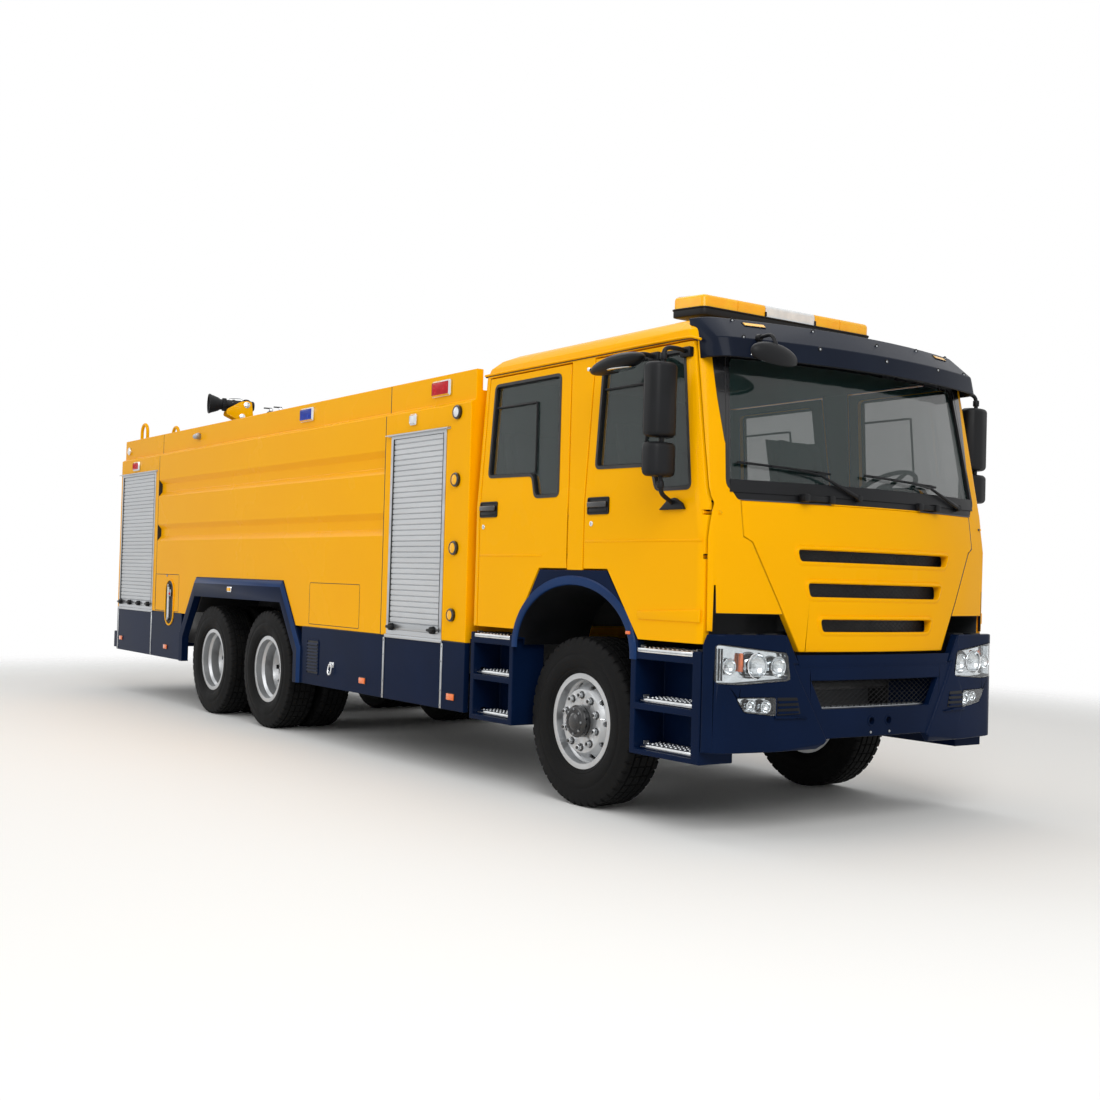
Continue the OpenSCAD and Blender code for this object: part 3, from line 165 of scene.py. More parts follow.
# Reflective sheet on aluminium, left blank: pale and even
plateBlank = makeFinish("number_plate_blank_reflective", ("#e4e4de", "#ecece7"), (0.3, 0.4), 200, 2, 0.05)
# Woven seat cloth: matt, charcoal, with the weave in its bump
seatCloth = makeFinish("seat_cloth_woven", ("#33363b", "#3f434a"), (0.85, 0.95), 60, 1.8, 0.5)
# Silvered glass: shows what stands before it
mirrorGlass = makeFinish("mirror_glass_silvered", ("#c9cfd2", "#d6dbdd"), (0.02, 0.05), 400, 5, 0.0, Metallic=1.0)
# Polycarbonate lenses, moulded and dyed through
amberLens = makeFinish("amber_polycarbonate_moulded", ("#ffb400", "#ffc012"), (0.12, 0.2), 90, 4, 0.05,
                       Specular_IOR_Level=0.25, Coat_Weight=0.2)
orangeLens = makeFinish("orange_reflector_moulded", ("#f0640a", "#fb7a18"), (0.15, 0.25), 40, 3, 0.2, Coat_Weight=0.6)
redLens = makeFinish("red_polycarbonate_moulded", ("#b80a1c", "#cf1427"), (0.2, 0.3), 60, 4, 0.08,
                     Specular_IOR_Level=0.1, Coat_Weight=0.06)
blueLens = makeFinish("blue_polycarbonate_moulded", ("#0d2f9a", "#1740b4"), (0.2, 0.3), 60, 4, 0.08,
                      Specular_IOR_Level=0.1, Coat_Weight=0.06)
whiteLens = makeFinish("clear_lens_fluted", ("#d7dbdd", "#e6e9ea"), (0.1, 0.2), 60, 4, 0.15, Coat_Weight=0.8)
# Toughened glass, grey-green body tint
cabGlass = makeFinish("cab_glass_toughened", ("#1b302e", "#203634"), (0.0, 0.0), 900, 30, 0,
                      Alpha=0.4, IOR=1.8)
# Clear moulded cover: the bowls show through it
lampGlass = makeFinish("lamp_cover_polycarbonate", ("#f3f6f7", "#f7f9fa"), (0.0, 0.0), 300, 20, 0,
                       Transmission_Weight=1.0, IOR=1.4)
print("finishes made")


# Parts are small bmeshes that are put into a piece one by one
def bevelEdges(part, edges, width, segs=2):
    bmesh.ops.bevel(part, geom=edges, offset=width, offset_type="OFFSET", segments=segs, profile=0.5,
                    affect="EDGES", material=-1, clamp_overlap=False)


def sharpEdges(part, angle=35):
    limit = math.radians(angle)
    return [e for e in part.edges if len(e.link_faces) == 2 and e.calc_face_angle(0) > limit]


def block(lo, hi, soft=0, segs=2):
    part = bmesh.new()
    lo, hi = Vector(lo), Vector(hi)
    bmesh.ops.create_cube(part, size=1, matrix=Matrix.LocRotScale((lo + hi) / 2, None, hi - lo))
    if soft:
        bevelEdges(part, part.edges[:], soft, segs)
    return part


def rod(p, q, r, r2=None, segs=20, soft=0):
    part = bmesh.new()
    p, q = Vector(p), Vector(q)
    turn = (q - p).to_track_quat("Z", "Y").to_matrix().to_4x4()
    bmesh.ops.create_cone(part, cap_ends=True, segments=segs, radius1=r, radius2=r if r2 is None else r2,
                          depth=(q - p).length, matrix=Matrix.Translation((p + q) / 2) @ turn)
    if soft:
        bevelEdges(part, sharpEdges(part, 60), soft)
    return part


def ball(p, r, squash=(1, 1, 1), segs=16):
    part = bmesh.new()
    bmesh.ops.create_uvsphere(part, u_segments=segs, v_segments=segs // 2, radius=r,
                              matrix=Matrix.LocRotScale(Vector(p), None, Vector(squash)))
    return part


def plate(points, push, soft=0, segs=2):  # outline in space, pushed along a vector
    part = bmesh.new()
    face = part.faces.new([part.verts.new(p) for p in points])
    more = bmesh.ops.extrude_face_region(part, geom=[face], use_keep_orig=True)["geom"]
    bmesh.ops.translate(part, vec=push, verts=[g for g in more if isinstance(g, bmesh.types.BMVert)])
    bmesh.ops.recalc_face_normals(part, faces=part.faces[:])
    if soft:
        bevelEdges(part, sharpEdges(part), soft, segs)
    return part


def loft(loops, closed=False):  # loops with as many points, joined in order
    part = bmesh.new()
    rows = [[part.verts.new(p) for p in loop] for loop in loops]
    for a, b in zip(rows, rows[1:] + rows[:1] if closed else rows[1:]):
        for i in range(len(a)):
            part.faces.new((a[i - 1], a[i], b[i], b[i - 1]))
    bmesh.ops.recalc_face_normals(part, faces=part.faces[:])
    return part


def ring(outer, inner, push):  # frame between two outlines with as many points
    outer, inner, push = [Vector(p) for p in outer], [Vector(p) for p in inner], Vector(push)
    return loft([outer, inner, [p + push for p in inner], [p + push for p in outer]], True)


def turned(profile, segs=48):  # radius and distance along Y, turned about Y
    part = bmesh.new()
    verts = [part.verts.new((r, h, 0)) for r, h in profile]
    edges = [part.edges.new(pair) for pair in zip(verts, verts[1:])]
    bmesh.ops.spin(part, geom=verts + edges, cent=(0, 0, 0), axis=(0, 1, 0), angle=2 * math.pi, steps=segs,
                   use_merge=True)
    bmesh.ops.remove_doubles(part, verts=part.verts[:], dist=1e-6)
    bmesh.ops.recalc_face_normals(part, faces=part.faces[:])
    return part


def bends(points, reach, steps=5):  # path with each corner rounded over a reach
    points = [Vector(p) for p in points]
    path = [points[0]]
    for a, b, c in zip(points, points[1:], points[2:]):
        start = b + (a - b).normalized() * min(reach, (a - b).length / 2)
        end = b + (c - b).normalized() * min(reach, (c - b).length / 2)
        path += [start.lerp(b, t / steps).lerp(b.lerp(end, t / steps), t / steps) for t in range(steps + 1)]
    return path + [points[-1]]


def tube(points, r, closed=False, sides=3):
    curve = bpy.data.curves.new("spare", "CURVE")
    curve.dimensions, curve.bevel_depth, curve.bevel_resolution, curve.use_fill_caps = "3D", r, sides, True
    line = curve.splines.new("POLY")
    line.points.add(len(points) - 1)
    for spot, p in zip(line.points, points):
        spot.co = (*p, 1)
    line.use_cyclic_u = closed
    holder = bpy.data.objects.new("spare", curve)
    mesh = bpy.data.meshes.new_from_object(holder)
    part = bmesh.new()
    part.from_mesh(mesh)
    bpy.data.objects.remove(holder)
    bpy.data.curves.remove(curve)
    bpy.data.meshes.remove(mesh)
    bmesh.ops.remove_doubles(part, verts=part.verts[:], dist=1e-6)
    bmesh.ops.recalc_face_normals(part, faces=part.faces[:])
    return part


def put(piece, part, mat=0, move=None, keep=False):  # without mat a part keeps its own material numbers
    if mat is not None:
        for f in part.faces:
            f.material_index = mat
    spare = bpy.data.meshes.new("spare")
    part.to_mesh(spare)
    if not keep:
        part.free()
    if move is not None:
        spare.transform(move)
        if move.determinant() < 0:
            spare.flip_normals()
    piece.from_mesh(spare)
    bpy.data.meshes.remove(spare)


flipY = Matrix.Scale(-1, 4, (0, 1, 0))
upright = Matrix.Rotation(math.pi / 2, 4, "X")  # a turned profile's Y becomes up
alongX = Matrix.Rotation(-math.pi / 2, 4, "Z")  # a turned profile's Y becomes X


def putBoth(piece, part, mat=0):  # the same part on both sides of the truck
    put(piece, part, mat, keep=True)
    put(piece, part, mat, flipY)


def putAll(piece, rows, place=putBoth):  # rows of material number, maker and what the maker takes
    for mat, make, *sizes in rows:
        place(piece, make(*sizes), mat)


def toLeft(piece):  # a right-hand piece becomes a left-hand one
    bmesh.ops.transform(piece, matrix=flipY, verts=piece.verts[:])
    bmesh.ops.reverse_faces(piece, faces=piece.faces[:])


def cut(part, at, way, clear=True, fill=False):
    bmesh.ops.bisect_plane(part, geom=part.verts[:] + part.edges[:] + part.faces[:], plane_co=at, plane_no=way,
                           clear_outer=clear)
    if fill:
        bmesh.ops.holes_fill(part, edges=[e for e in part.edges if len(e.link_faces) == 1])


def strip(rows, marked=()):  # open band on the right side through rows of points, facing outwards
    part = bmesh.new()
    grid = [[part.verts.new(p) for p in row] for row in rows]
    for k, (a, b) in enumerate(zip(grid, grid[1:])):
        for i in range(len(a) - 1):
            part.faces.new((a[i], a[i + 1], b[i + 1], b[i])).material_index = int(k in marked)
    bmesh.ops.recalc_face_normals(part, faces=part.faces[:])
    if sum(f.normal.y for f in part.faces) > 0:
        bmesh.ops.reverse_faces(part, faces=part.faces[:])
    return part


def turns(count):  # angles of a full turn
    return [2 * math.pi * i / count for i in range(count)]


halfTurn = [math.pi * i / 12 for i in range(13)]


def rounded(corners, r, steps=5):  # 2D outline with round corners
    path, n = [], len(corners)
    for i, b in enumerate(corners):
        b, a, c = Vector(b), Vector(corners[i - 1]), Vector(corners[(i + 1) % n])
        start = b + (a - b).normalized() * r
        end = b + (c - b).normalized() * r
        path += [start.lerp(b, t / steps).lerp(b.lerp(end, t / steps), t / steps) for t in range(steps + 1)]
    return path


def panel(lo, hi, low, high, r):  # 2D oblong with round corners
    return rounded([(lo, low), (hi, low), (hi, high), (lo, high)], r)


def grown(outline, d):  # 2D outline moved outwards by d
    n = len(outline)
    area = sum(outline[i - 1].cross(outline[i]) for i in range(n))
    path = []
    for i, p in enumerate(outline):
        along = (outline[(i + 1) % n] - outline[i - 1]).normalized()
        path.append(p + Vector((along.y, -along.x)) * (d if area > 0 else -d))
    return path


def finishPiece(name, piece, mats, body, replaced=(), smooth=35, atAxle=True, weighted=False):
    if atAxle:
        bmesh.ops.translate(piece, vec=(axleX, 0, 0), verts=piece.verts[:])
    mesh = bpy.data.meshes.new(name)
    piece.to_mesh(mesh)
    piece.free()
    for m in mats:
        mesh.materials.append(m)
    mesh.shade_smooth()
    mesh.set_sharp_from_angle(angle=math.radians(smooth))
    made = bpy.data.objects.new(name, mesh)
    scene.collection.objects.link(made)
    if weighted:
        made.modifiers.new("even_shading", "WEIGHTED_NORMAL").keep_sharp = True
    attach(made, body)
    if replaced:
        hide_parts(*replaced)
    return made


bodyOf = {n: b for b, members in frame["record"]["behaviour"]["bodies"].items() for n in members}


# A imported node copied, merged and given the small edge radii of pressed and moulded parts
def softCopy(node, width, segs=2, angle=30, shortest=2.2):
    part = bmesh.new()
    part.from_mesh(frame["nodes"][node].data)
    bmesh.ops.remove_doubles(part, verts=part.verts[:], dist=2e-5)
    if width:
        edges = [e for e in sharpEdges(part, angle) if e.calc_length() > shortest * width]
        bevelEdges(part, edges, width, segs)
    part.normal_update()
    return part


def dress(node, width, mats, pick=None, segs=2, angle=30, smooth=35):
    part = softCopy(node, width, segs, angle)
    for f in part.faces:
        f.material_index = pick(f.calc_center_median() - Vector((axleX, 0, 0)), f.normal) if pick else 0
    return finishPiece(node + "_dressed", part, mats, bodyOf[node], (node,), smooth, False, True)


# Running gear keeps its solids and takes a finish
for node, finish in dict(chassis_frame=chassisBlack, front_axle=castIron, rear_axles=castIron,
                         leaf_springs=chassisBlack,
                         engine=castIron, drive_shafts=castIron, knuckle_right=castIron, knuckle_left=castIron,
                         windscreen=cabGlass, glass_front_right=cabGlass, glass_front_left=cabGlass,
                         glass_rear_right=cabGlass, glass_rear_left=cabGlass).items():
    mesh = frame["nodes"][node].data
    mesh.materials.clear()
    mesh.materials.append(finish)
print("running gear finished")

# Tyres: one tread pitch drawn, then repeated round the wheel
tyreSettings = dict(pitches=46, columns=(0, 0.05, 0.27, 0.32, 0.6, 0.64, 0.72, 0.76, 1.0), slotDepth=0.011,
                    sipeDepth=0.008,
                    half=((0.288, 0.1), (0.304, 0.112), (0.313, 0.123), (0.326, 0.131), (0.33, 0.1345), (0.336, 0.1345),
                          (0.34, 0.138), (0.362, 0.1455), (0.392, 0.1495), (0.42, 0.15), (0.424, 0.1475),
                          (0.432, 0.1475), (0.436, 0.1485), (0.462, 0.144), (0.488, 0.138), (0.507, 0.1345),
                          (0.524, 0.1325), (0.535, 0.128), (0.5405, 0.119), (0.5415, 0.086), (0.5285, 0.083),
                          (0.5285, 0.073), (0.5418, 0.07), (0.5422, 0.034), (0.5295, 0.031), (0.5295, 0.023),
                          (0.5424, 0.02), (0.5425, 0.004)))


def makeTyre(t):
    half = list(t["half"])
    profile = half + [(r, -h) for r, h in reversed(half)]
    pitch = 2 * math.pi / t["pitches"]
    part = bmesh.new()
    before = None
    for column, share in enumerate(t["columns"]):
        verts = []
        for r, h in profile:
            if column in (1, 2) and r > 0.5 and abs(h) > 0.0865:
                r -= t["slotDepth"] * min(1, (r - 0.5) / 0.03)
            if column in (5, 6) and r > 0.535 and abs(h) < 0.072:
                r -= t["sipeDepth"]
            verts.append(part.verts.new((r * math.cos(share * pitch), h, r * math.sin(share * pitch))))
        edges = [part.edges.new(pair) for pair in zip(verts, verts[1:])]
        if before:
            bmesh.ops.bridge_loops(part, edges=before + edges)
        before = edges
    mesh = bpy.data.meshes.new("tread_pitch")
    part.to_mesh(mesh)
    part.free()
    whole = bmesh.new()
    for _ in range(t["pitches"]):
        whole.from_mesh(mesh)
        mesh.transform(Matrix.Rotation(pitch, 4, "Y"))
    bmesh.ops.remove_doubles(whole, verts=whole.verts[:], dist=1e-5)
    bmesh.ops.recalc_face_normals(whole, faces=whole.faces[:])
    bpy.data.meshes.remove(mesh)
    return whole


wheelSettings = dict(radius=0.5425, frontTrack=2.022, rearTrack=1.83, twinGap=0.345, axles=(0.0, -4.8, -6.17),
                     nutCircle=0.1675, nuts=10, nutSize=0.0175)
tyre = makeTyre(tyreSettings)


def hubAndNuts(piece, face, hubEnd, wide):  # along -Y, outboard; face is the disc, hubEnd the end of the hub
    w = wheelSettings
    for i in range(w["nuts"]):
        a = 2 * math.pi * (i + 0.5) / w["nuts"]
        x, z = w["nutCircle"] * math.cos(a), w["nutCircle"] * math.sin(a)
        put(piece, rod((x, -face + 0.001, z), (x, -face - 0.004, z), 0.026, segs=18, soft=0.001), 1)
        put(piece, rod((x, -face - 0.004, z), (x, -face - 0.026, z), w["nutSize"] * 1.15, segs=6, soft=0.0015), 2)
        put(piece, rod((x, -face - 0.026, z), (x, -face - 0.038, z), 0.01, segs=12, soft=0.001), 1)
    # hub cap with its ring of bolts and a domed grease cap
    cap = [(0.0, -hubEnd - 0.014), (0.03, -hubEnd - 0.013), (0.05, -hubEnd - 0.006), (0.058, -hubEnd + 0.004),
           (0.062, -hubEnd + 0.006), (0.088, -hubEnd + 0.006), (0.094, -hubEnd + 0.01), (wide, -hubEnd + 0.022),
           (wide, -hubEnd + 0.048), (wide - 0.01, -hubEnd + 0.05)]
    put(piece, turned(cap), 1)
    for a in turns(8):
        x, z = 0.078 * math.cos(a), 0.078 * math.sin(a)
        put(piece, rod((x, -hubEnd + 0.007, z), (x, -hubEnd - 0.003, z), 0.008, segs=6, soft=0.001), 3)


def wheelAt(axle, s, track):
    turn = Matrix.Identity(4) if s == right else Matrix.Rotation(math.pi, 4, "Z")
    return Matrix.Translation((wheelSettings["axles"][axle], s * track / 2, wheelSettings["radius"])) @ turn


def rimPick(axle, s, track, hub):
    centre = Vector((wheelSettings["axles"][axle], 0, wheelSettings["radius"]))

    def pick(c, normal):
        reach = math.hypot(c.x - centre.x, c.z - centre.z)
        out = s * (c.y - s * track / 2)
        return 1 if reach < hub or out < -0.02 and reach < 0.21 else 0
    return pick


for s in (right, left):
    for axle in range(3):
        front = axle == 0
        track = wheelSettings["frontTrack" if front else "rearTrack"]
        move = wheelAt(axle, s, track)
        body = f"wheel_front_{sideName[s]}" if front else f"wheel_rear_{axle}_{sideName[s]}"
        names = [f"front_tyre_{sideName[s]}", f"front_rim_{sideName[s]}"] if front else \
            [f"rear_tyres_{axle}_{sideName[s]}", f"rear_rims_{axle}_{sideName[s]}"]
        rubber = bmesh.new()
        for out in ((0,) if front else (-0.5, 0.5)):
            put(rubber, tyre, 0, move @ Matrix.Translation((0, out * wheelSettings["twinGap"], 0)), keep=True)
        finishPiece(names[0] + "_treaded", rubber, [tyreRubber], body, (names[0],), 38)
        dress(names[1], 0.0015, [wheelSilver, chassisBlack], rimPick(axle, s, track, 0.101 if front else 0.122), 1, 40,
              30)
        fittings = bmesh.new()
        hubAndNuts(fittings, 0.112 if front else 0.018, 0.178 if front else 0.138, 0.103 if front else 0.123)
        # tyre valve through a hand hole
        stem = (0.22, -0.085) if front else (0.215, -0.06)
        put(fittings, tube(bends([(stem[0], stem[1] + 0.03, 0.03), (stem[0], stem[1], 0.03),
                                  (stem[0] - 0.02, stem[1] - 0.03, 0.03)],
                                 0.012), 0.005), 2)
        bmesh.ops.transform(fittings, matrix=move, verts=fittings.verts[:])
        finishPiece(names[1] + "_fittings", fittings, [wheelSilver, glossAbs, chrome, zincSteel], body)
tyre.free()
print("wheels made")

# Skins of the cab and bumper as functions, so that trim lies on them
cabLevels = ((1.105, 1.475), (1.7, 1.48), (1.94, 1.445), (2.865, 1.27))
visorLevels = ((2.745, 1.43), (2.86, 1.405), (3.0, 1.24))
bowRadius, bumperBow, bumperNose = 4.0, 6.0, 1.5
bumperCorner = dict(radius=0.13, x=1.2631, y=1.115, start=1.1397)


def along(levels, z):
    for (z0, x0), (z1, x1) in zip(levels, levels[1:]):
        if z <= z1 or (z1, x1) == levels[-1]:
            return x0 + (x1 - x0) * (z - z0) / (z1 - z0)


def cabFront(y, z):
    return along(cabLevels, z) - bowRadius + math.sqrt(bowRadius ** 2 - y * y)


def visorFront(y, z):
    return along(visorLevels, z) - bowRadius + math.sqrt(bowRadius ** 2 - y * y)


def bumperFront(y, z=0):
    c, y = bumperCorner, abs(y)
    if y < c["start"]:
        return bumperNose - bumperBow + math.sqrt(bumperBow ** 2 - y * y)
    return c["x"] + math.sqrt(max(0, c["radius"] ** 2 - (y - c["y"]) ** 2))


def cabSide(z):
    return 1.245 - 0.06 * max(0, z - 1.94) / 0.925


# Bodywork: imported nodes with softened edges, painted outside, trimmed or black inside
def cabPick(c, n):
    inward = max(-n.x * (c.x - 0.1), -n.y * c.y, -n.z * (c.z - 2.2)) > 0.3
    if abs(c.y) < 1.2 - 0.065 * max(0, c.z - 1.94) and 1.45 < c.z < 2.985 and -1.15 < c.x < 1.42 and inward:
        return 2 if c.z > 2.7 and n.z < -0.2 else 1
    if c.z < 1.45 and abs(c.y) < 1.19 and (c.x < 1.2 or n.z < -0.5 or n.y * c.y < -0.3 or n.x < -0.5):
        return 3
    return 3 if abs(c.y) < 1.0 and c.z < 1.72 and c.x > 1.2 and c.x < cabFront(c.y, c.z) - 0.03 else 0


def doorPick(c, n):
    return 1 if abs(n.y) > 0.5 and n.y * c.y < 0 else 0


def bodyPick(c, n):
    if n.z > 0.9 and abs(c.y) < 1.16 and c.z > 2.7:
        return 1
    return 2 if c.z < 1.38 and abs(c.y) < 1.205 else 0


def shutterPick(c, n):
    if c.x < -9.06:
        return 0 if -0.392 < c.y < 0.922 and 1.023 < c.z < 2.507 else 1
    curtain = 1.023 < c.z < 2.507 and (-2.392 < c.x < -1.623 or -9.062 < c.x < -7.968)
    return 0 if curtain else 1


def archPick(c, n):
    return 1 if abs(c.y) < 1.185 and -0.63 < c.x < 0.64 and c.z > 0.9 else 0


dress("cab_shell", 0.005, [yellow, cabinTrim, cabinFelt, chassisBlack], cabPick, 3, 28, 32)
dress("front_panel", 0.006, [yellow], None, 3)
for s in (right, left):
    for where in ("front", "rear"):
        dress(f"door_{where}_{sideName[s]}", 0.004, [yellow, cabinTrim], doorPick, 3)
        dress(f"flap_{where}_{sideName[s]}", 0.004, [navy])
dress("superstructure", 0.006, [yellow, deckPlate, chassisBlack], bodyPick, 3)
dress("roller_shutters", 0.0015, [slatAluminium, railAluminium], shutterPick)
dress("arch_steps", 0.006, [navy, blackAbs], archPick, 3)
dress("front_bumper", 0.008, [navy], None, 3)
dress("side_skirts", 0.004, [navy])
dress("rear_bumper", 0.006, [navy])
dress("rear_ladder", 0, [yellow])
dress("sun_visor", 0.007, [visorAbs, blackAbs], lambda c, n: 1 if n.z < -0.5 or n.x < -0.2 else 0, 3)
dress("scuttle_panel", 0.003, [blackAbs])
print("bodywork dressed")


def dense(outline, step=0.04):  # 2D outline with points no further apart than step
    path, n = [], len(outline)
    for i, p in enumerate(outline):
        p, q = Vector(p), Vector(outline[(i + 1) % n])
        parts = max(1, math.ceil((q - p).length / step))
        path += [p.lerp(q, t / parts) for t in range(parts)]
    return path


def onSkin(outline, skin, lift):
    return [(skin(y, z) + lift, y, z) for y, z in outline]


def patch(outline, skin, lift, thick, soft=0, step=0.04):  # sheet that follows a skin inside an outline of Y and Z
    part = bmesh.new()
    part.faces.new([part.verts.new((0, y, z)) for y, z in outline])
    for axis in (1, 2):
        lo, hi = min(p[axis - 1] for p in outline), max(p[axis - 1] for p in outline)
        cuts = max(1, round((hi - lo) / step))
        for i in range(1, cuts):
            spot, way = Vector(), Vector()
            spot[axis], way[axis] = lo + (hi - lo) * i / cuts, 1
            cut(part, spot, way, False)
    for v in part.verts:
        v.co.x = skin(v.co.y, v.co.z) + lift
    bmesh.ops.recalc_face_normals(part, faces=part.faces[:])
    more = bmesh.ops.extrude_face_region(part, geom=part.faces[:], use_keep_orig=True)["geom"]
    bmesh.ops.translate(part, vec=(-thick, 0, 0), verts=[g for g in more if isinstance(g, bmesh.types.BMVert)])
    bmesh.ops.recalc_face_normals(part, faces=part.faces[:])
    if soft:
        bevelEdges(part, sharpEdges(part, 50), soft)
    return part


def wall(near, far):  # open band between two loops with as many points
    part = bmesh.new()
    edges = []
    for loop in (near, far):
        verts = [part.verts.new(p) for p in loop]
        edges += [part.edges.new(pair) for pair in zip(verts, verts[1:] + verts[:1])]
    bmesh.ops.bridge_loops(part, edges=edges)
    return part


def trapezoid(low, high, halfLow, halfHigh):
    return [(-halfLow, low), (halfLow, low), (halfHigh, high), (-halfHigh, high)]


def wireMesh(corners, skin, lift, pitch, wire):  # diamond mesh behind an outline with straight sides
    part = bmesh.new()
    ys, zs = [p[0] for p in corners], [p[1] for p in corners]
    middle = Vector((0, (min(ys) + max(ys)) / 2, (min(zs) + max(zs)) / 2))
    reach = max(max(ys) - min(ys), max(zs) - min(zs))
    turn = Matrix.Translation(middle) @ Matrix.Diagonal((1, 1.25, 0.8, 1)) @ Matrix.Rotation(math.pi / 4, 4, "X") @ \
        Matrix.Rotation(math.pi / 2, 4, "Y")
    cells = math.ceil(reach / pitch)
    bmesh.ops.create_grid(part, x_segments=cells, y_segments=cells, size=reach * 0.72, matrix=turn)
    for i, (y, z) in enumerate(corners):
        to = corners[(i + 1) % len(corners)]
        way = Vector((0, to[1] - z, -(to[0] - y)))
        cut(part, (0, y, z), way)
    bmesh.ops.wireframe(part, faces=part.faces[:], thickness=wire, use_replace=True, use_boundary=True,
                        use_even_offset=True)
    for v in part.verts:
        v.co.x += skin(v.co.y, v.co.z) + lift
    bmesh.ops.recalc_face_normals(part, faces=part.faces[:])
    return part


def bowl(centre, r, depth, segs=32):  # lamp reflector that opens along X
    part = turned([(r, 0), (r * 0.97, -depth * 0.15), (r * 0.85, -depth * 0.5), (r * 0.6, -depth * 0.82),
                   (r * 0.3, -depth),
                   (0.0, -depth)], segs)
    bmesh.ops.transform(part, matrix=Matrix.Translation(centre) @ alongX, verts=part.verts[:])
    return part


# Grille and bumper mesh: woven black wire
grilleSettings = dict(slots=((1.177, 1.26, 0.498), (1.38, 1.47, 0.596), (1.585, 1.663, 0.672)), pitch=0.017,
                      wire=0.0032, lift=-0.049, margin=0.018,
                      lip=((0.026, -0.002), (0.02, 0.005), (0.013, 0.009), (0.005, 0.01), (0.0, 0.006),
                           (-0.002, -0.004), (-0.002, -0.03)))


def makeGrille(c):
    piece = bmesh.new()
    for low, high, half in c["slots"]:
        m = c["margin"]
        put(piece, wireMesh(trapezoid(low - m, high + m, half - 0.02 + m, half + m), cabFront, c["lift"], c["pitch"],
                            c["wire"]), 0)
        # rubber edge inside the slot
        edge = dense(rounded([(0.025 - half, low), (half - 0.025, low), (half, high), (-half, high)], 0.008), 0.05)
        put(piece, ring(onSkin(edge, cabFront, -0.012), onSkin(grown(edge, -0.006), cabFront, -0.012), (-0.03, 0, 0)),
            1)
        # pressed lip round the slot, heavier along the top like a brow
        edge = dense(rounded([(0.03 - half, low + 0.004), (half - 0.03, low + 0.004), (half - 0.006, high - 0.004),
                              (0.006 - half, high - 0.004)], 0.026), 0.05)
        loops = []
        for grow, lift in c["lip"]:
            loop = grown(edge, grow)
            loops.append([(cabFront(y, z) + lift * (0.7 + 0.9 * (z - low) / (high - low)), y, z) for y, z in loop])
        put(piece, loft(loops), 2)
    finishPiece("grille_wire_mesh", piece, [wireBlack, sealRubber, yellow], "cab", ("panel_mesh",), 40)
    piece = bmesh.new()
    put(piece, wireMesh(trapezoid(0.732, 0.94, 0.5, 0.59), bumperFront, -0.066, 0.019, 0.0032), 0)
    finishPiece("bumper_wire_mesh", piece, [wireBlack], "chassis", ("bumper_mesh",), 30)


makeGrille(grilleSettings)

# Headlamps and fog lamps: chromed tray, reflectors and a clear cover flush with the bumper
lampSettings = dict(outline=((-1.212, 1.112), (-0.75, 1.062), (-0.724, 0.905), (-1.06, 0.883), (-1.212, 0.89)),
                    fog=((-1.096, 0.812), (-0.824, 0.81), (-0.824, 0.704), (-1.035, 0.728)), depth=0.052,
                    bowls=((-0.955, 0.99, 0.072, 0.045), (-0.806, 0.984, 0.056, 0.038), (-1.125, 0.985, 0.045, 0.03)),
                    fogBowls=((-0.878, 0.757, 0.036, 0.03), (-0.978, 0.765, 0.03, 0.025)),
                    upFins=(-1.196, -1.182, -1.168), flatFins=(0.918, 0.932, 0.946))


def makeLamp(c, outline, bowls, r, indicator):
    piece = bmesh.new()
    edge = dense(rounded(outline, r), 0.03)
    put(piece, patch(edge, bumperFront, -c["depth"], 0.003), 0)
    put(piece, wall(onSkin(edge, bumperFront, -0.004), onSkin(edge, bumperFront, -c["depth"])), 0)
    rim = grown(edge, -0.006)
    put(piece, ring(onSkin(edge, bumperFront, -0.002), onSkin(rim, bumperFront, -0.002), (-0.014, 0, 0)), 4)
    for y, z, size, depth in bowls:
        x = bumperFront(y) - c["depth"] + depth + 0.004
        put(piece, bowl((x, y, z), size, depth), 0)
        put(piece, ball((x - depth + 0.014, y, z), size * 0.24, (1.3, 1, 1)), 1)
        loop = [(x, y + size * math.cos(a), z + size * math.sin(a)) for a in turns(32)]
        put(piece, tube(loop, 0.0035, True), 0)
    if indicator:  # orange flasher and chrome fins beside it
        x = bumperFront(-1.045) - 0.03
        put(piece, rod((x, -1.047, 0.955), (x, -1.043, 1.06), 0.017, 0.013, soft=0.006), 2)
        for y in c["upFins"]:
            put(piece, block((bumperFront(y) - 0.05, y - 0.002, 0.905), (bumperFront(y) - 0.014, y + 0.002, 1.085),
                             0.0008, 1), 0)
        for z in c["flatFins"]:
            put(piece, block((bumperFront(-0.88) - 0.055, -1.01, z - 0.0015),
                             (bumperFront(-0.88) - 0.016, -0.742, z + 0.0015)), 0)
    put(piece, patch(grown(edge, -0.0015), bumperFront, 0.001, 0.003), 3)
    return piece


lamps = bmesh.new()
for outline, bowls, r, indicator in ((lampSettings["outline"], lampSettings["bowls"], 0.022, True),
                                     (lampSettings["fog"], lampSettings["fogBowls"], 0.014, False)):
    putBoth(lamps, makeLamp(lampSettings, outline, bowls, r, indicator), None)
finishPiece("headlamp_units", lamps, [chrome, whiteLens, orangeLens, lampGlass, glossAbs], "chassis", ("headlamps",),
            32)
print("grille and lamps made")

# Bumper details: fins beside the fog lamps, tread sill, black liner in the gap under the cab
finSettings = dict(y=(-0.815, -0.665), z=(0.712, 0.742, 0.772, 0.8), sill=0.7335, tow=(-0.075, 0.075),
                   blade=((-0.835, 0.69), (-0.6, 0.688), (-0.72, 0.704), (-0.835, 0.706)),
                   lip=trapezoid(0.975, 1.05, 0.65, 0.676))


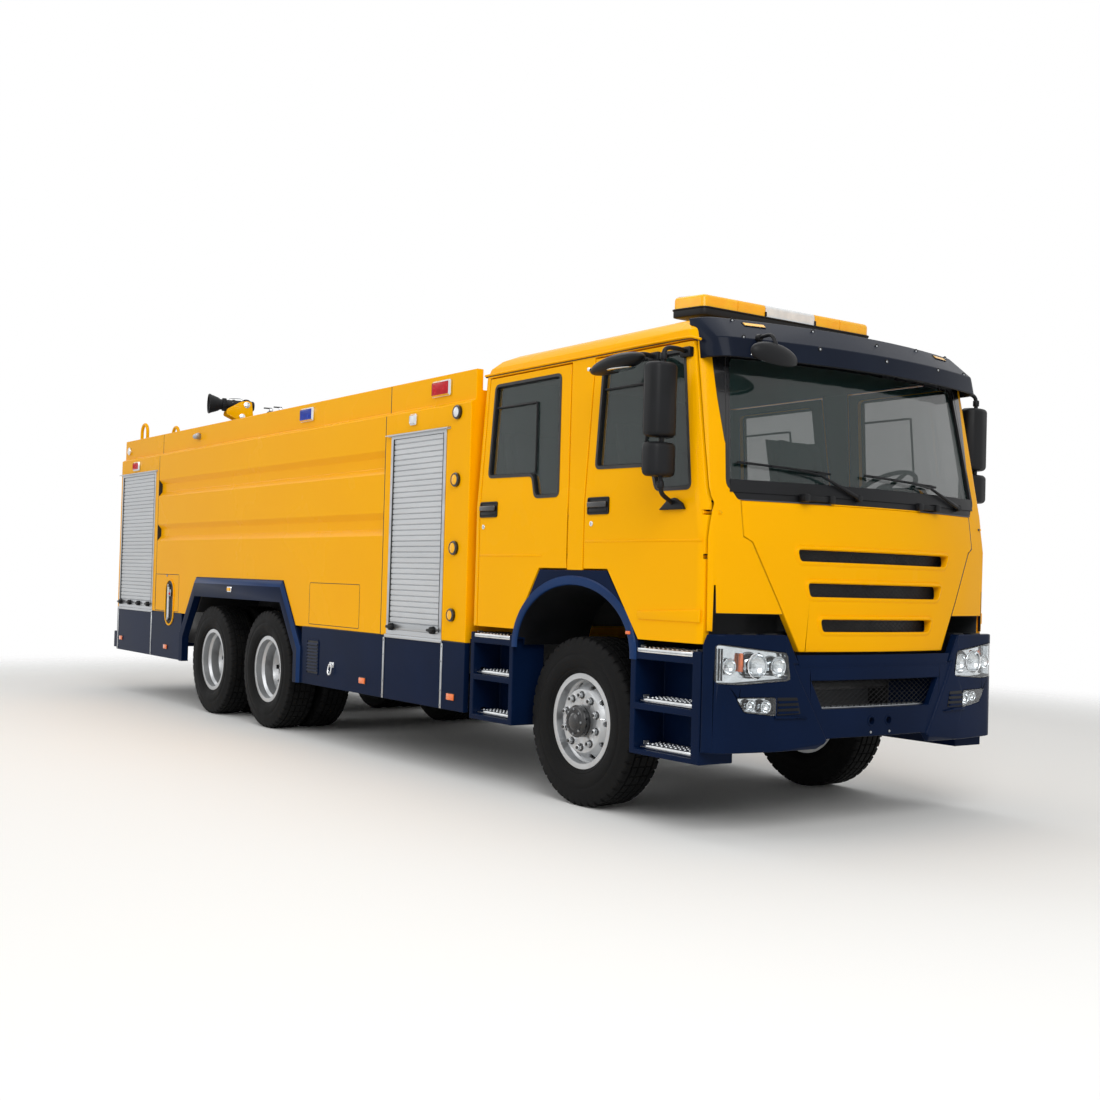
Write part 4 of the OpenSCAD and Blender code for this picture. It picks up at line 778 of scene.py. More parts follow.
def makeBumperTrim(c):
    piece = bmesh.new()
    y0, y1 = c["y"]
    hollow = dense(rounded([(y0, c["z"][0] - 0.004), (y1 + 0.015, c["z"][0] + 0.002), (y1 - 0.01, c["z"][3] + 0.008),
                            (y0, c["z"][3] + 0.01)], 0.006), 0.03)
    putBoth(piece, patch(hollow, bumperFront, 0.0012, 0.004), 1)
    for i, z in enumerate(c["z"][:3]):
        blade = [(y0 + 0.004, z + 0.004), (y1 - 0.004 * i, z + 0.006), (y1 - 0.004 * i, z + 0.019),
                 (y0 + 0.004, z + 0.018)]
        putBoth(piece, patch(dense(blade, 0.03), bumperFront, 0.009, 0.011, 0.003), 0)
    # blade under the fins
    putBoth(piece, patch(dense(c["blade"], 0.03), bumperFront, 0.014, 0.016, 0.004), 0)
    # tread sill of the recess with raised bars
    sill = [(bumperFront(y) - 0.052, y, c["sill"]) for y in [-0.455 + 0.07 * i for i in range(14)]]
    back = [(1.36, y, c["sill"]) for _, y, _ in reversed(sill)]
    put(piece, plate(sill + back, (0, 0, 0.006), 0.0015), 2)
    for row in range(3):
        for i in range(30):
            y = -0.435 + 0.03 * i
            x = bumperFront(y) - 0.068 - 0.024 * row
            put(piece, block((x - 0.008, y - 0.0025, 0.739), (x + 0.008, y + 0.0025, 0.7415)), 2)
    # thin upper edge of the middle panel, ahead of the swing of the cab's tongue
    put(piece, patch(dense(c["lip"], 0.06), bumperFront, -0.0118, 0.008, 0.002), 0)
    # tow hole rings and bolts along the chin
    for y in c["tow"]:
        x = bumperFront(y) - 0.012
        collar = turned([(0.0225, 0.004), (0.03, 0.004), (0.032, 0.0), (0.0225, 0.0)], 32)
        put(piece, collar, 0, Matrix.Translation((x, y, 0.655)) @ alongX)
        put(piece, rod((x, y * 1.1, 0.588), (x + 0.005, y * 1.1, 0.588), 0.009, segs=6, soft=0.001), 3)
    # liner and lamp brackets in the dark gap between lamps and cab
    put(piece, block((1.312, -1.1, 0.93), (1.33, 1.1, 1.17), 0.004), 1)
    for y in (-1.0, -0.83):
        putBoth(piece, block((1.335, y - 0.05, 1.1), (1.4, y + 0.05, 1.172), 0.006), 1)
    finishPiece("bumper_trim", piece, [navy, blackAbs, railAluminium, zincSteel], "chassis")


makeBumperTrim(finSettings)

# Windscreen: rubber surround, black printed border and wipers
screenSettings = dict(
    outline=((-1.09, 1.985), (1.09, 1.985), (1.01, 2.79), (-1.01, 2.79)),
    edge=((-1.064, 2.2), (-1.078, 2.276), (-1.095, 2.52), (-1.1, 2.7), (-1.1, 2.8), (-0.99, 2.8), (-1.03, 2.5)),
    foot=((-1.078, 1.972), (1.078, 1.972), (1.068, 2.046), (-1.068, 2.046)),
    wipers=(((-0.187, 1.977), (-0.48, 2.1), (-1.022, 2.145), (-0.391, 2.112)),
            ((0.835, 1.976), (0.509, 2.08), (-0.109, 2.121), (0.586, 2.094))),
    boxes=((-0.64, -0.38, 1.957), (0.35, 0.56, 1.956)))


def makeScreen(c):
    piece = bmesh.new()
    outline = dense(rounded(c["outline"], 0.06), 0.08)

    def border(d, lift):
        return onSkin(grown(outline, d), cabFront, lift)

    put(piece, ring(border(0.01, 0.003), border(-0.012, 0), (-0.013, 0, 0)), 0)
    inner = [p + Vector((0, 0.022 if p.y < 2.05 else 0)) for p in grown(outline, -0.03)]
    put(piece, ring(border(-0.011, -0.0125), onSkin(inner, cabFront, -0.0125), (-0.001, 0, 0)), 1)
    # printed black edge that widens the screen towards its upper corners, and a moulding along its foot
    putBoth(piece, patch(dense(c["edge"], 0.05), cabFront, 0.0022, 0.005), 1)
    put(piece, patch(dense(c["foot"], 0.06), cabFront, 0.0034, 0.006), 2)
    # wipers: arm, pivot, blade holder and rubber
    for pivot, elbow, tip, end in c["wipers"]:
        base, bend = [(cabFront(y, z) + lift, y, z) for (y, z), lift in ((pivot, 0.022), (elbow, 0.03))]
        tip, end = Vector(tip), Vector(end)
        middle = (tip + end) / 2
        hold = (cabFront(*middle) + 0.024, *middle)
        blade = [(cabFront(y, z) + 0.014, y, z) for y, z in [tip.lerp(end, t / 8) for t in range(9)]]
        putAll(piece, ((2, rod, base, bend, 0.014, 0.008, 8, 0.003),
                       (2, rod, bend, hold, 0.006, 0.005, 8, 0.001),
                       (2, rod, (base[0] - 0.03, *pivot), (base[0] + 0.012, *pivot), 0.021, None, 20, 0.005),
                       (2, tube, blade, 0.008, False, 1),
                       (0, tube, [(x - 0.012, y, z - 0.003) for x, y, z in blade], 0.0035, False, 1)), put)
        for x, y, z in blade[1:8:2]:
            put(piece, block((x - 0.004, y - 0.03, z - 0.007), (x + 0.012, y + 0.03, z + 0.007), 0.003), 2)
    # washer nozzles and grip boxes on the scuttle
    for lo, hi, z in c["boxes"]:
        x = cabFront((lo + hi) / 2, z)
        put(piece, block((x - 0.01, lo, z - 0.016), (x + 0.03, hi, z + 0.016), 0.006), 2)
        for y in (lo + 0.025, hi - 0.025):
            put(piece, block((x - 0.01, y - 0.022, z - 0.022), (x + 0.042, y + 0.022, z + 0.024), 0.006), 2)
    finishPiece("windscreen_trim_and_wipers", piece, [sealRubber, glossAbs, blackAbs], "cab",
                smooth=40)


makeScreen(screenSettings)

# Sun visor fixings, and the small mirror that looks down over the nose
visorSettings = dict(
    rivets=((-0.985, 2.866), (-0.47, 2.845), (0.078, 2.832), (0.62, 2.845), (0.985, 2.866), (-0.955, 2.985),
            (-0.4, 2.975),
            (0.101, 2.942), (0.56, 2.975), (0.955, 2.985)),
    markers=((-0.906, -0.759, 2.952, 2.982), (0.759, 0.906, 2.952, 2.982)),
    arm=((1.3, -0.9, 2.868), (1.44, -0.92, 2.872), (1.475, -0.92, 2.8)), shell=(1.455, -0.915, 2.745),
    cut=(1.44, -0.915, 2.735), pane=(1.437, -0.915, 2.731))


def makeVisorTrim(c):
    piece = bmesh.new()
    for y, z in c["rivets"]:
        x = visorFront(y, z)
        put(piece, ball((x + 0.001, y, z), 0.0075, (0.5, 1, 1), 12), 0)
        put(piece, rod((x - 0.004, y, z), (x + 0.002, y, z), 0.016, segs=16, soft=0.0015), 1)
    # flush marker lamps in the upper corners
    for marker in c["markers"]:
        outline = dense(panel(*marker, 0.008), 0.05)
        put(piece, patch(outline, visorFront, 0.004, 0.006), 1)
        put(piece, patch(grown(outline, -0.006), visorFront, 0.008, 0.006), 2)
    finishPiece("visor_rivets_and_markers", piece, [zincSteel, blackAbs, amberLens], "cab")
    mirror = bmesh.new()
    put(mirror, tube(bends(c["arm"], 0.04), 0.011), 0)
    put(mirror, rod((1.305, -0.9, 2.868), (1.335, -0.904, 2.869), 0.024, 0.018, soft=0.004), 0)
    shell = ball(c["shell"], 0.18, (0.27, 1.0, 0.4), 32)
    bmesh.ops.rotate(shell, cent=c["shell"], matrix=Matrix.Rotation(math.radians(-6), 3, "X"), verts=shell.verts[:])
    cut(shell, c["cut"], (-0.7, 0, -0.7), fill=True)
    put(mirror, shell, 0)
    glass = ball(c["pane"], 0.16, (0.05, 1.0, 0.3), 32)
    bmesh.ops.rotate(glass, cent=c["pane"], matrix=Matrix.Rotation(math.radians(-45), 3, "Y"), verts=glass.verts[:])
    put(mirror, glass, 1)
    finishPiece("nose_mirror", mirror, [blackAbs, mirrorGlass], "cab", ("front_mirror",))


makeVisorTrim(visorSettings)

# Light bar: dyed lens blocks on a black base with two feet
barSettings = dict(x=0.54, deep=0.125, half=0.815, cut=0.06, base=(3.1195, 3.176), top=3.256, centre=0.225, foot=0.59)


def makeLightBar(c):
    piece = bmesh.new()
    back, nose = c["x"] - c["deep"], c["x"] + c["deep"]
    plan = rounded([(back, -c["half"]), (nose, -c["half"] + c["cut"]), (nose, c["half"] - c["cut"]), (back, c["half"])],
                   0.04)
    put(piece, plate([(x, y, c["base"][0]) for x, y in plan], (0, 0, c["base"][1] - c["base"][0]), 0.008), 1)
    put(piece, plate([(x, y, c["base"][1] - 0.012) for x, y in grown(plan, 0.006)], (0, 0, 0.01), 0.003), 1)
    seams = (-c["half"] - 0.1, -c["centre"] - 0.24, -c["centre"], c["centre"], c["centre"] + 0.24, c["half"] + 0.1)
    for i, (lo, hi) in enumerate(zip(seams, seams[1:])):
        lens = plate([(x, y, c["base"][1] - 0.002) for x, y in grown(plan, -0.008)], (0, 0, c["top"] - c["base"][1]), 0)
        tops = [e for e in sharpEdges(lens, 50) if min(v.co.z for v in e.verts) > c["top"] - 0.02]
        bevelEdges(lens, tops, 0.026, 4)
        for y, way in ((lo + 0.002, -1), (hi - 0.002, 1)):
            cut(lens, (0, y, 0), (0, way, 0), fill=True)
        bmesh.ops.recalc_face_normals(lens, faces=lens.faces[:])
        put(piece, lens, 2 if i == 2 else 0)
    for y in (-c["centre"], c["centre"]):  # clips over the joints
        put(piece, block((back + 0.02, y - 0.006, c["base"][1]), (nose + 0.001, y + 0.006, c["base"][1] + 0.03), 0.002),
            1)
    for s in (right, left):
        y = s * c["foot"]
        put(piece, block((c["x"] - 0.085, y - 0.05, 3.0245), (c["x"] + 0.085, y + 0.05, 3.037), 0.004), 3)
        for x in (c["x"] - 0.06, c["x"] + 0.04):
            put(piece, block((x, y - 0.03, 3.03), (x + 0.02, y + 0.03, c["base"][0] + 0.002), 0.003), 3)
            put(piece, rod((x + 0.01, y + 0.04, 3.035), (x + 0.01, y + 0.04, 3.045), 0.009, segs=6, soft=0.001), 3)
    finishPiece("light_bar_lenses", piece, [amberLens, blackAbs, whiteLens, zincSteel], "cab", ("light_bar",),
                30)


makeLightBar(barSettings)
print("cab front trimmed")

# Doors: window rubbers, sliding frames, handles, locks and pressed lines
doorSettings = dict(
    front=dict(window=((0.225, 2.15), (0.77, 2.14), (0.83, 1.99), (1.14, 1.99), (1.0, 2.805), (0.225, 2.805)),
               bars=(((0.235, 2.644), (0.66, 2.644)), ((0.672, 2.644), (0.69, 2.16))),
               handle=(0.172, 0.39, 1.858, 1.966), lock=(0.213, 1.801), line=((0.15, 1.692), (1.255, 1.692))),
    rear=dict(window=((-1.02, 2.15), (-0.48, 2.14), (-0.43, 1.99), (-0.16, 1.99), (-0.235, 2.795), (-1.02, 2.795)),
              bars=(((-1.01, 2.636), (-0.516, 2.636)), ((-0.508, 2.636), (-0.462, 2.15))),
              handle=(-1.094, -0.876, 1.866, 1.975), lock=(-1.048, 1.8), line=((-1.09, 1.602), (-0.33, 1.602))))


def onDoor(outline, lift):  # right side; lift is outwards
    return [(x, -cabSide(z) - lift, z) for x, z in outline]


def makeDoorTrim(c, where):
    piece = bmesh.new()
    window = dense(rounded(c["window"], 0.038), 0.06)
    put(piece, ring(onDoor(grown(window, 0.009), 0.004), onDoor(grown(window, -0.011), 0.004), (0, 0.03, 0)), 0)
    put(piece, ring(onDoor(grown(window, -0.01), -0.01), onDoor(grown(window, -0.018), -0.01), (0, 0.016, 0)), 1)
    for (x0, z0), (x1, z1) in c["bars"]:
        ends = [(x0, -cabSide(z0) + 0.014, z0), (x1, -cabSide(z1) + 0.014, z1)]
        put(piece, tube(bends(ends, 0.01), 0.008, sides=2), 1)
    x0, x1, z0, z1 = c["handle"]
    edge = panel(x0, x1, z0, z1, 0.018)
    put(piece, plate(onDoor(edge, 0.0045), (0, 0.006, 0), 0.0015), 1)
    put(piece, ring(onDoor(edge, 0.009), onDoor(grown(edge, -0.01), 0.009), (0, 0.007, 0)), 1)
    mid = (z0 + z1) / 2
    put(piece, block((x0 + 0.012, -cabSide(mid) - 0.024, mid - 0.01), (x1 - 0.012, -cabSide(mid) - 0.006, mid + 0.026),
                     0.007, 3), 2)
    put(piece, block((x0 + 0.015, -cabSide(mid) - 0.01, mid - 0.04), (x1 - 0.015, -cabSide(mid) - 0.004, mid - 0.016),
                     0.003), 1)
    x, z = c["lock"]
    put(piece, rod((x, -cabSide(z) + 0.002, z), (x, -cabSide(z) - 0.006, z), 0.017, segs=24, soft=0.002), 3)
    put(piece, block((x - 0.002, -cabSide(z) - 0.0065, z - 0.008), (x + 0.002, -cabSide(z) - 0.005, z + 0.008)), 1)
    (x0, z0), (x1, z1) = c["line"]
    put(piece, block((x0, -cabSide(z0) - 0.0035, z0 - 0.007), (x1, -cabSide(z0) + 0.004, z1 + 0.007), 0.003, 3), 4)
    if where == "front":  # flare over the step
        flare = plate(onDoor([(0.705, 1.225), (1.256, 1.225), (1.256, 1.3), (0.69, 1.272)], 0.009), (0, 0.014, 0),
                      0.006, 3)
        put(piece, flare, 4)
    return piece


for where, c in doorSettings.items():
    for s in (right, left):
        piece = makeDoorTrim(c, where)
        if s == left:
            toLeft(piece)
        finishPiece(f"door_{where}_{sideName[s]}_trim", piece, [sealRubber, blackAbs, glossAbs, chrome, yellow],
                    f"door_{where}_{sideName[s]}", smooth=38)

# Mirrors on the front doors
mirrorSettings = dict(
    heads=((2.272, 2.7), (2.048, 2.243)), pole=(1.058, -1.398), pane=(-1.482, -1.313), clamps=(2.735, 2.0),
    plan=((1.0, -1.298), (1.06, -1.296), (1.104, -1.33), (1.116, -1.398), (1.104, -1.466), (1.06, -1.497),
          (1.0, -1.497)),
    foot=((0.89, 1.868), (1.115, 1.868), (1.09, 1.905), (1.03, 1.937), (0.975, 1.93)),
    stalk=((0.735, -1.19, 2.79), (0.745, -1.29, 2.8), (0.735, -1.372, 2.775)))


def makeMirrors(c, kerb):
    piece, pole = bmesh.new(), c["pole"]
    for z0, z1 in c["heads"]:
        shell = plate([(x, y, z0) for x, y in rounded(c["plan"], 0.018, 3)], (0, 0, z1 - z0))
        ends = [e for e in sharpEdges(shell, 60) if abs(e.verts[0].co.z - e.verts[1].co.z) < 1e-4]
        bevelEdges(shell, ends, 0.03, 5)
        put(piece, shell, 0)
        pane = panel(*c["pane"], z0 + 0.022, z1 - 0.022, 0.025)
        put(piece, plate([(0.9995, y, z) for y, z in pane], (-0.002, 0, 0)), 1)
        rim, edge = [[(1.0, y, z) for y, z in grown(pane, d)] for d in (0.006, 0)]
        put(piece, ring(rim, edge, (-0.005, 0, 0)), 0)
    # tubular arm, clamps and feet
    upper = bends([(1.03, -1.185, 2.785), (1.055, -1.3, 2.795), (*pole, 2.785), (*pole, 2.69)], 0.05)
    lower = bends([(*pole, 2.055), (*pole, 1.955), (1.01, -1.262, 1.905)], 0.05)
    putAll(piece, ((0, tube, upper, 0.0135, False, 4),
                   (0, tube, lower, 0.0135, False, 4),
                   (0, rod, (*pole, 2.235), (*pole, 2.285), 0.017, None, 20, 0.003),
                   (0, block, (0.985, -1.222, 2.755), (1.072, -1.178, 2.815), 0.01, 3),
                   (0, plate, [(x, -1.246, z) for x, z in c["foot"]], (0, -0.026, 0), 0.007, 3)), put)
    for z in c["clamps"]:
        put(piece, rod((*pole, z - 0.02), (*pole, z + 0.02), 0.021, soft=0.004), 0)
    if kerb:  # streamlined pod with the kerb mirror, on a stalk over the door
        pod = ball((0.6, -1.375, 2.748), 0.245, (1.0, 0.36, 0.2), 32)
        for v in pod.verts:
            v.co.z += 0.1 * (v.co.x - 0.6) - 0.1 * (v.co.x - 0.6) ** 2
        put(piece, pod, 0)
        putAll(piece, ((1, ball, (0.575, -1.372, 2.712), 0.185, (1.0, 0.34, 0.07), 24),
                       (0, tube, bends(c["stalk"], 0.04), 0.015, False, 4),
                       (0, block, (0.69, -1.215, 2.765), (0.78, -1.18, 2.82), 0.01, 3),
                       (2, rod, (0.43, -1.452, 2.722), (0.43, -1.464, 2.721), 0.012, None, 16, 0.002)), put)
    return piece


for s in (right, left):
    piece = makeMirrors(mirrorSettings, s == right)
    if s == left:
        toLeft(piece)
    finishPiece(f"mirrors_{sideName[s]}_housings", piece, [blackAbs, mirrorGlass, chrome], f"door_front_{sideName[s]}",
                (f"mirrors_{sideName[s]}",), 35)
print("doors trimmed")

# Steps: pressed treads with raised grips and a bright nose
stepSettings = dict(front=((0.455, 0.04), (0.73, 0.03), (1.028, 0.0)),
                    rear=((0.485, 0.04), (0.768, 0.03), (1.026, 0.0)),
                    frontX=(0.698, 1.193), rearX=(-1.133, -0.687), outer=1.244, inner=1.016, thick=0.028, grip=0.011)


def makeTreads(c):
    piece = bmesh.new()
    for name in ("front", "rear"):
        x0, x1 = c[name + "X"]
        for z, back in c[name]:
            y0 = -c["outer"] + back
            top = z + c["thick"]
            putBoth(piece, block((x0, y0 + 0.018, z), (x1, -c["inner"], top), 0.003), 0)
            putBoth(piece, block((x0, y0, z), (x1, y0 + 0.02, top + 0.001), 0.006, 3), 1)
            putBoth(piece, block((x0 + 0.004, y0 - 0.0015, z + 0.01), (x1 - 0.004, y0 + 0.004, z + 0.016), 0.001), 2)
            columns = int((x1 - x0 - 0.03) / 0.042)
            for row in range(4):
                for i in range(columns):
                    x = x0 + 0.028 + 0.042 * i + (0.021 if row % 2 else 0)
                    y = y0 + 0.042 + 0.044 * row
                    if y > -c["inner"] - 0.014:
                        continue
                    putBoth(piece, rod((x, y, top - 0.001), (x, y, top + 0.006), c["grip"], c["grip"] * 0.62, 10), 0)
            # brackets with a bolt at both ends
            for x in (x0 - 0.008, x1 + 0.002):
                putBoth(piece, block((x, y0 + 0.03, z - 0.004), (x + 0.006, y0 + 0.075, top + 0.016), 0.0015), 2)
    finishPiece("step_treads_pressed", piece, [railAluminium, chrome, zincSteel], "chassis", ("step_treads",),
                30)


makeTreads(stepSettings)

# Arch lips beside the cab: half an ellipse with a rolled section
archSettings = dict(centre=(0.02, 1.0), reach=(0.612, 0.415), repeater=((0.6, -1.262, 1.13), (0.64, -1.24, 1.15)),
                    section=((0.0, -1.2435), (0.004, -1.252), (0.018, -1.256), (0.052, -1.2535), (0.06, -1.2435)))


def makeArchLip(c):
    piece = bmesh.new()
    (x, z), (wide, high) = c["centre"], c["reach"]
    rows = [[(x + (wide + grow) * math.cos(a), y, z + (high + grow) * math.sin(a))
             for a in [math.radians(a) for a in range(-2, 183, 4)]] for grow, y in c["section"]]
    # The lip's lighter navy is a painted highlight along its rolled edge
    putBoth(piece, strip(rows), 0)
    # small orange repeaters on the arch
    putBoth(piece, block(*c["repeater"], 0.004), 1)
    finishPiece("arch_lips", piece, [navyPaintedHighlight, orangeLens], "chassis", smooth=40)


makeArchLip(archSettings)

# Roof gutter along the cab sides, with its rubber seal
gutterSettings = dict(bend=0.04, path=((-1.188, -1.15, 2.886), (-1.192, -1.186, 2.884), (-0.9, -1.191, 2.883),
                                       (0.9, -1.191, 2.878), (1.055, -1.19, 2.874), (1.13, -1.183, 2.85)))


def makeGutter(c):
    piece = bmesh.new()
    path = bends(c["path"], c["bend"])
    putBoth(piece, tube(path, 0.0075, sides=2), 0)
    putBoth(piece, tube([(x, y + 0.004, z - 0.011) for x, y, z in path], 0.0028, sides=1), 1)
    finishPiece("roof_gutters", piece, [yellow, sealRubber], "cab", smooth=50)


makeGutter(gutterSettings)
print("cab sides trimmed")

# Body sides stand at one distance from the middle
sideY = -1.25


def onSide(outline, lift):
    return [(x, sideY - lift, z) for x, z in outline]


def sideRing(edge, outer, inner, lift, deep):  # frame round an outline on the side
    return ring(onSide(grown(edge, outer), lift), onSide(grown(edge, inner), lift), (0, deep, 0))


# Shutters: sills, drip rails, bottom bars with latches, guide rails, body seams and the curtain at the back
shutterSettings = dict(spans=((-2.43, -1.585, 2), (-9.1, -7.93, 4)), latchZ=1.045, seams=(-2.53, -7.83), slats=31,
                       first=1.082, pitch=0.0457, latches=(-0.3, 0.265, 0.83),
                       drip=((0, 2.548), (0.03, 2.54), (0.03, 2.532), (0.004, 2.536), (0, 2.53)),
                       section=((-9.1465, 0), (-9.1535, 0.004), (-9.156, 0.012), (-9.156, 0.029), (-9.1535, 0.037),
                                (-9.1465, 0.041), (-9.14, 0.041), (-9.14, 0)))


def makeShutterTrim(c):
    piece = bmesh.new()
    z = c["latchZ"]
    for x0, x1, count in c["spans"]:
        drip = [(x0 - 0.055, sideY - out, up) for out, up in c["drip"]]
        putAll(piece, ((0, block, (x0 - 0.015, sideY - 0.012, 0.958), (x1 + 0.015, sideY + 0.02, 0.984), 0.003),
                       (0, plate, drip, (x1 - x0 + 0.11, 0, 0)),
                       (0, block, (x0 + 0.04, sideY - 0.004, 1.024), (x1 - 0.04, sideY + 0.012, 1.075), 0.004)))
        for i in range(count):
            x = x0 + 0.105 + (x1 - x0 - 0.21) * i / (count - 1)
            putAll(piece, ((1, rod, (x, sideY, z), (x, sideY - 0.038, z), 0.03, 0.026, 20, 0.005),
                           (1, block, (x - 0.048, sideY - 0.046, z - 0.011), (x + 0.048, sideY - 0.026, z + 0.011),
                            0.008)))
        for x in (x0 + 0.04, x1 - 0.04):
            putBoth(piece, block((x - 0.004, sideY - 0.0045, 1.03), (x + 0.004, sideY + 0.01, 2.505), 0.002), 2)
    for x in c["seams"]:
        putAll(piece, ((2, block, (x - 0.004, sideY + 0.0005, 0.98), (x + 0.004, sideY + 0.05, 2.7)),
                       (2, block, (x - 0.004, -1.2095, 2.7), (x + 0.004, -1.16, 2.94))))
    # back curtain: slats with dark gaps, then rails, sill, bottom bar and latches
    for i in range(c["slats"]):
        low = c["first"] + c["pitch"] * i
        put(piece, plate([(x, -0.39, low + up) for x, up in c["section"]], (0, 1.31, 0)), 3)
        put(piece, block((-9.1518, -0.389, low - 0.005), (-9.1425, 0.919, low + 0.001)), 2)
    putAll(piece, ((0, block, (-9.166, -0.43, 0.984), (-9.146, -0.388, 2.545), 0.003),
                   (0, block, (-9.166, 0.918, 0.984), (-9.146, 0.96, 2.545), 0.003),
                   (0, block, (-9.172, -0.445, 2.52), (-9.146, 0.975, 2.55), 0.004),
                   (0, block, (-9.162, -0.445, 0.958), (-9.14, 0.975, 0.984), 0.003),
                   (0, block, (-9.155, -0.392, 1.024), (-9.14, 0.922, 1.075), 0.004)), put)
    for y in c["latches"]:
        putAll(piece, ((1, rod, (-9.15, y, z), (-9.185, y, z), 0.03, 0.026, 20, 0.005),
                       (1, block, (-9.193, y - 0.048, z - 0.011), (-9.175, y + 0.048, z + 0.011), 0.008)), put)
    finishPiece("shutter_rails_and_latches", piece, [railAluminium, blackAbs, sealRubber, slatAluminium], "chassis")


makeShutterTrim(shutterSettings)

# Skirts: strips beside the flaps, seam covers, louvred vent, lashing rings and reflectors
skirtSettings = dict(strips=((-2.45, -1.585), (-9.09, -7.95)), bolts=(0.505, 0.615, 0.825, 0.935),
                     covers=((-7.8, -7.0), (-3.94, -2.54), (-1.56, -1.255)), vent=(-3.85, -3.64, 0.58, 0.86), louvres=9,
                     louvre=((0.001, 0.016), (0.003, 0.018), (0.013, 0), (0.01, -0.001)), ring=(-3.37, 0.64),
                     reflectors=((-2.807, 0.588), (-1.425, 0.577), (-7.45, 0.6), (-8.98, 0.62)))


def makeSkirtTrim(c):
    piece = bmesh.new()
    for x0, x1 in c["strips"]:
        for x in (x0 - 0.026, x1 + 0.003):
            putBoth(piece, block((x, sideY - 0.005, 0.482), (x + 0.023, sideY + 0.01, 0.957), 0.002), 0)
            for z in c["bolts"]:
                putBoth(piece, rod((x + 0.0115, sideY - 0.003, z), (x + 0.0115, sideY - 0.01, z), 0.007, segs=6,
                                   soft=0.001), 3)
    for x0, x1 in c["covers"]:
        putBoth(piece, block((x0, sideY - 0.003, 0.97), (x1, sideY + 0.004, 0.978), 0.0015), 2)
    x0, x1, low, _ = c["vent"]
    edge = panel(*c["vent"], 0.012)
    putBoth(piece, sideRing(edge, 0.012, 0, 0.006, 0.01), 1)
    putBoth(piece, plate(onSide(edge, 0.001), (0, 0.004, 0)), 2)
    for i in range(c["louvres"]):
        z = low + 0.018 + 0.0285 * i
        slat = [(x0 + 0.004, sideY - out, z + up) for out, up in c["louvre"]]
        putBoth(piece, plate(slat, (x1 - x0 - 0.008, 0, 0)), 1)
    x, z = c["ring"]
    loop = [(x + 0.03 * math.sin(a), sideY - 0.014 - 0.012 * (1 - math.cos(a)) / 2,
             z + 0.045 * math.cos(a)) for a in turns(24)]
    putAll(piece, ((4, block, (x - 0.04, sideY - 0.006, z + 0.015), (x + 0.04, sideY + 0.004, z + 0.06), 0.004),
                   (4, tube, loop, 0.007, True),
                   (4, rod, (x - 0.025, sideY - 0.012, z + 0.038), (x + 0.025, sideY - 0.012, z + 0.038), 0.01, None,
                    20, 0.002)))
    for x, z in c["reflectors"]:
        putAll(piece, ((2, block, (x - 0.055, sideY - 0.004, z - 0.028), (x + 0.055, sideY + 0.004, z + 0.028), 0.003),
                       (5, block, (x - 0.05, sideY - 0.011, z - 0.023), (x + 0.05, sideY - 0.003, z + 0.023), 0.003)))
    finishPiece("skirt_trim", piece, [railAluminium, navy, sealRubber, zincSteel, chrome, orangeLens], "chassis")


makeSkirtTrim(skirtSettings)

# Rear arch trim: pressed edge that slopes back to the body; its section is a share inwards and a height off the side
rearArchSettings = dict(
    outer=((-1.5, 0.48), (-1.5, 0.79), (-1.08, 1.366), (1.08, 1.366), (1.5, 0.79), (1.5, 0.48)),
    inner=((-1.39, 0.48), (-1.39, 0.735), (-1.07, 1.172), (1.07, 1.172), (1.39, 0.735), (1.39, 0.48)),
    centre=-5.485, marker=(-5.6, 1.262),
    section=((-0.03, -0.001), (0.0, 0.01), (0.26, 0.03), (0.3, 0.032), (1.0, 0.028), (1.0, 0.006)))


def makeArchTrim(c):
    piece = bmesh.new()
    rows = [[(c["centre"] + o[0] + (n[0] - o[0]) * share, sideY - out, o[1] + (n[1] - o[1]) * share)
             for o, n in zip(c["outer"], c["inner"])] for share, out in c["section"]]
    # Rows 1 and 2 are the sloping bevel; its lighter navy is a painted highlight where light falls on it
    putBoth(piece, strip(rows, (1, 2)), None)
    # marker lamp on the flat of the trim
    x, z = c["marker"]
    putAll(piece, ((2, block, (x - 0.05, sideY - 0.04, z - 0.027), (x + 0.05, sideY - 0.024, z + 0.027), 0.005),
                   (3, block, (x - 0.036, sideY - 0.048, z - 0.017), (x + 0.036, sideY - 0.036, z + 0.017), 0.005)))
    finishPiece("rear_arch_trim", piece, [navy, navyPaintedHighlight, chrome, amberLens], "chassis", smooth=20)


makeArchTrim(rearArchSettings)

# Hatch with an oval slot, an access panel's seam, and a horn under the parapet
hatchSettings = dict(seam=(-7.835, -7.095, 0.985, 1.388), access=(-3.85, -2.9, 1.0, 1.362), gauge=-7.385,
                     slot=dict(x=-7.365, low=0.955, high=1.215, wide=0.115, bow=0.105))


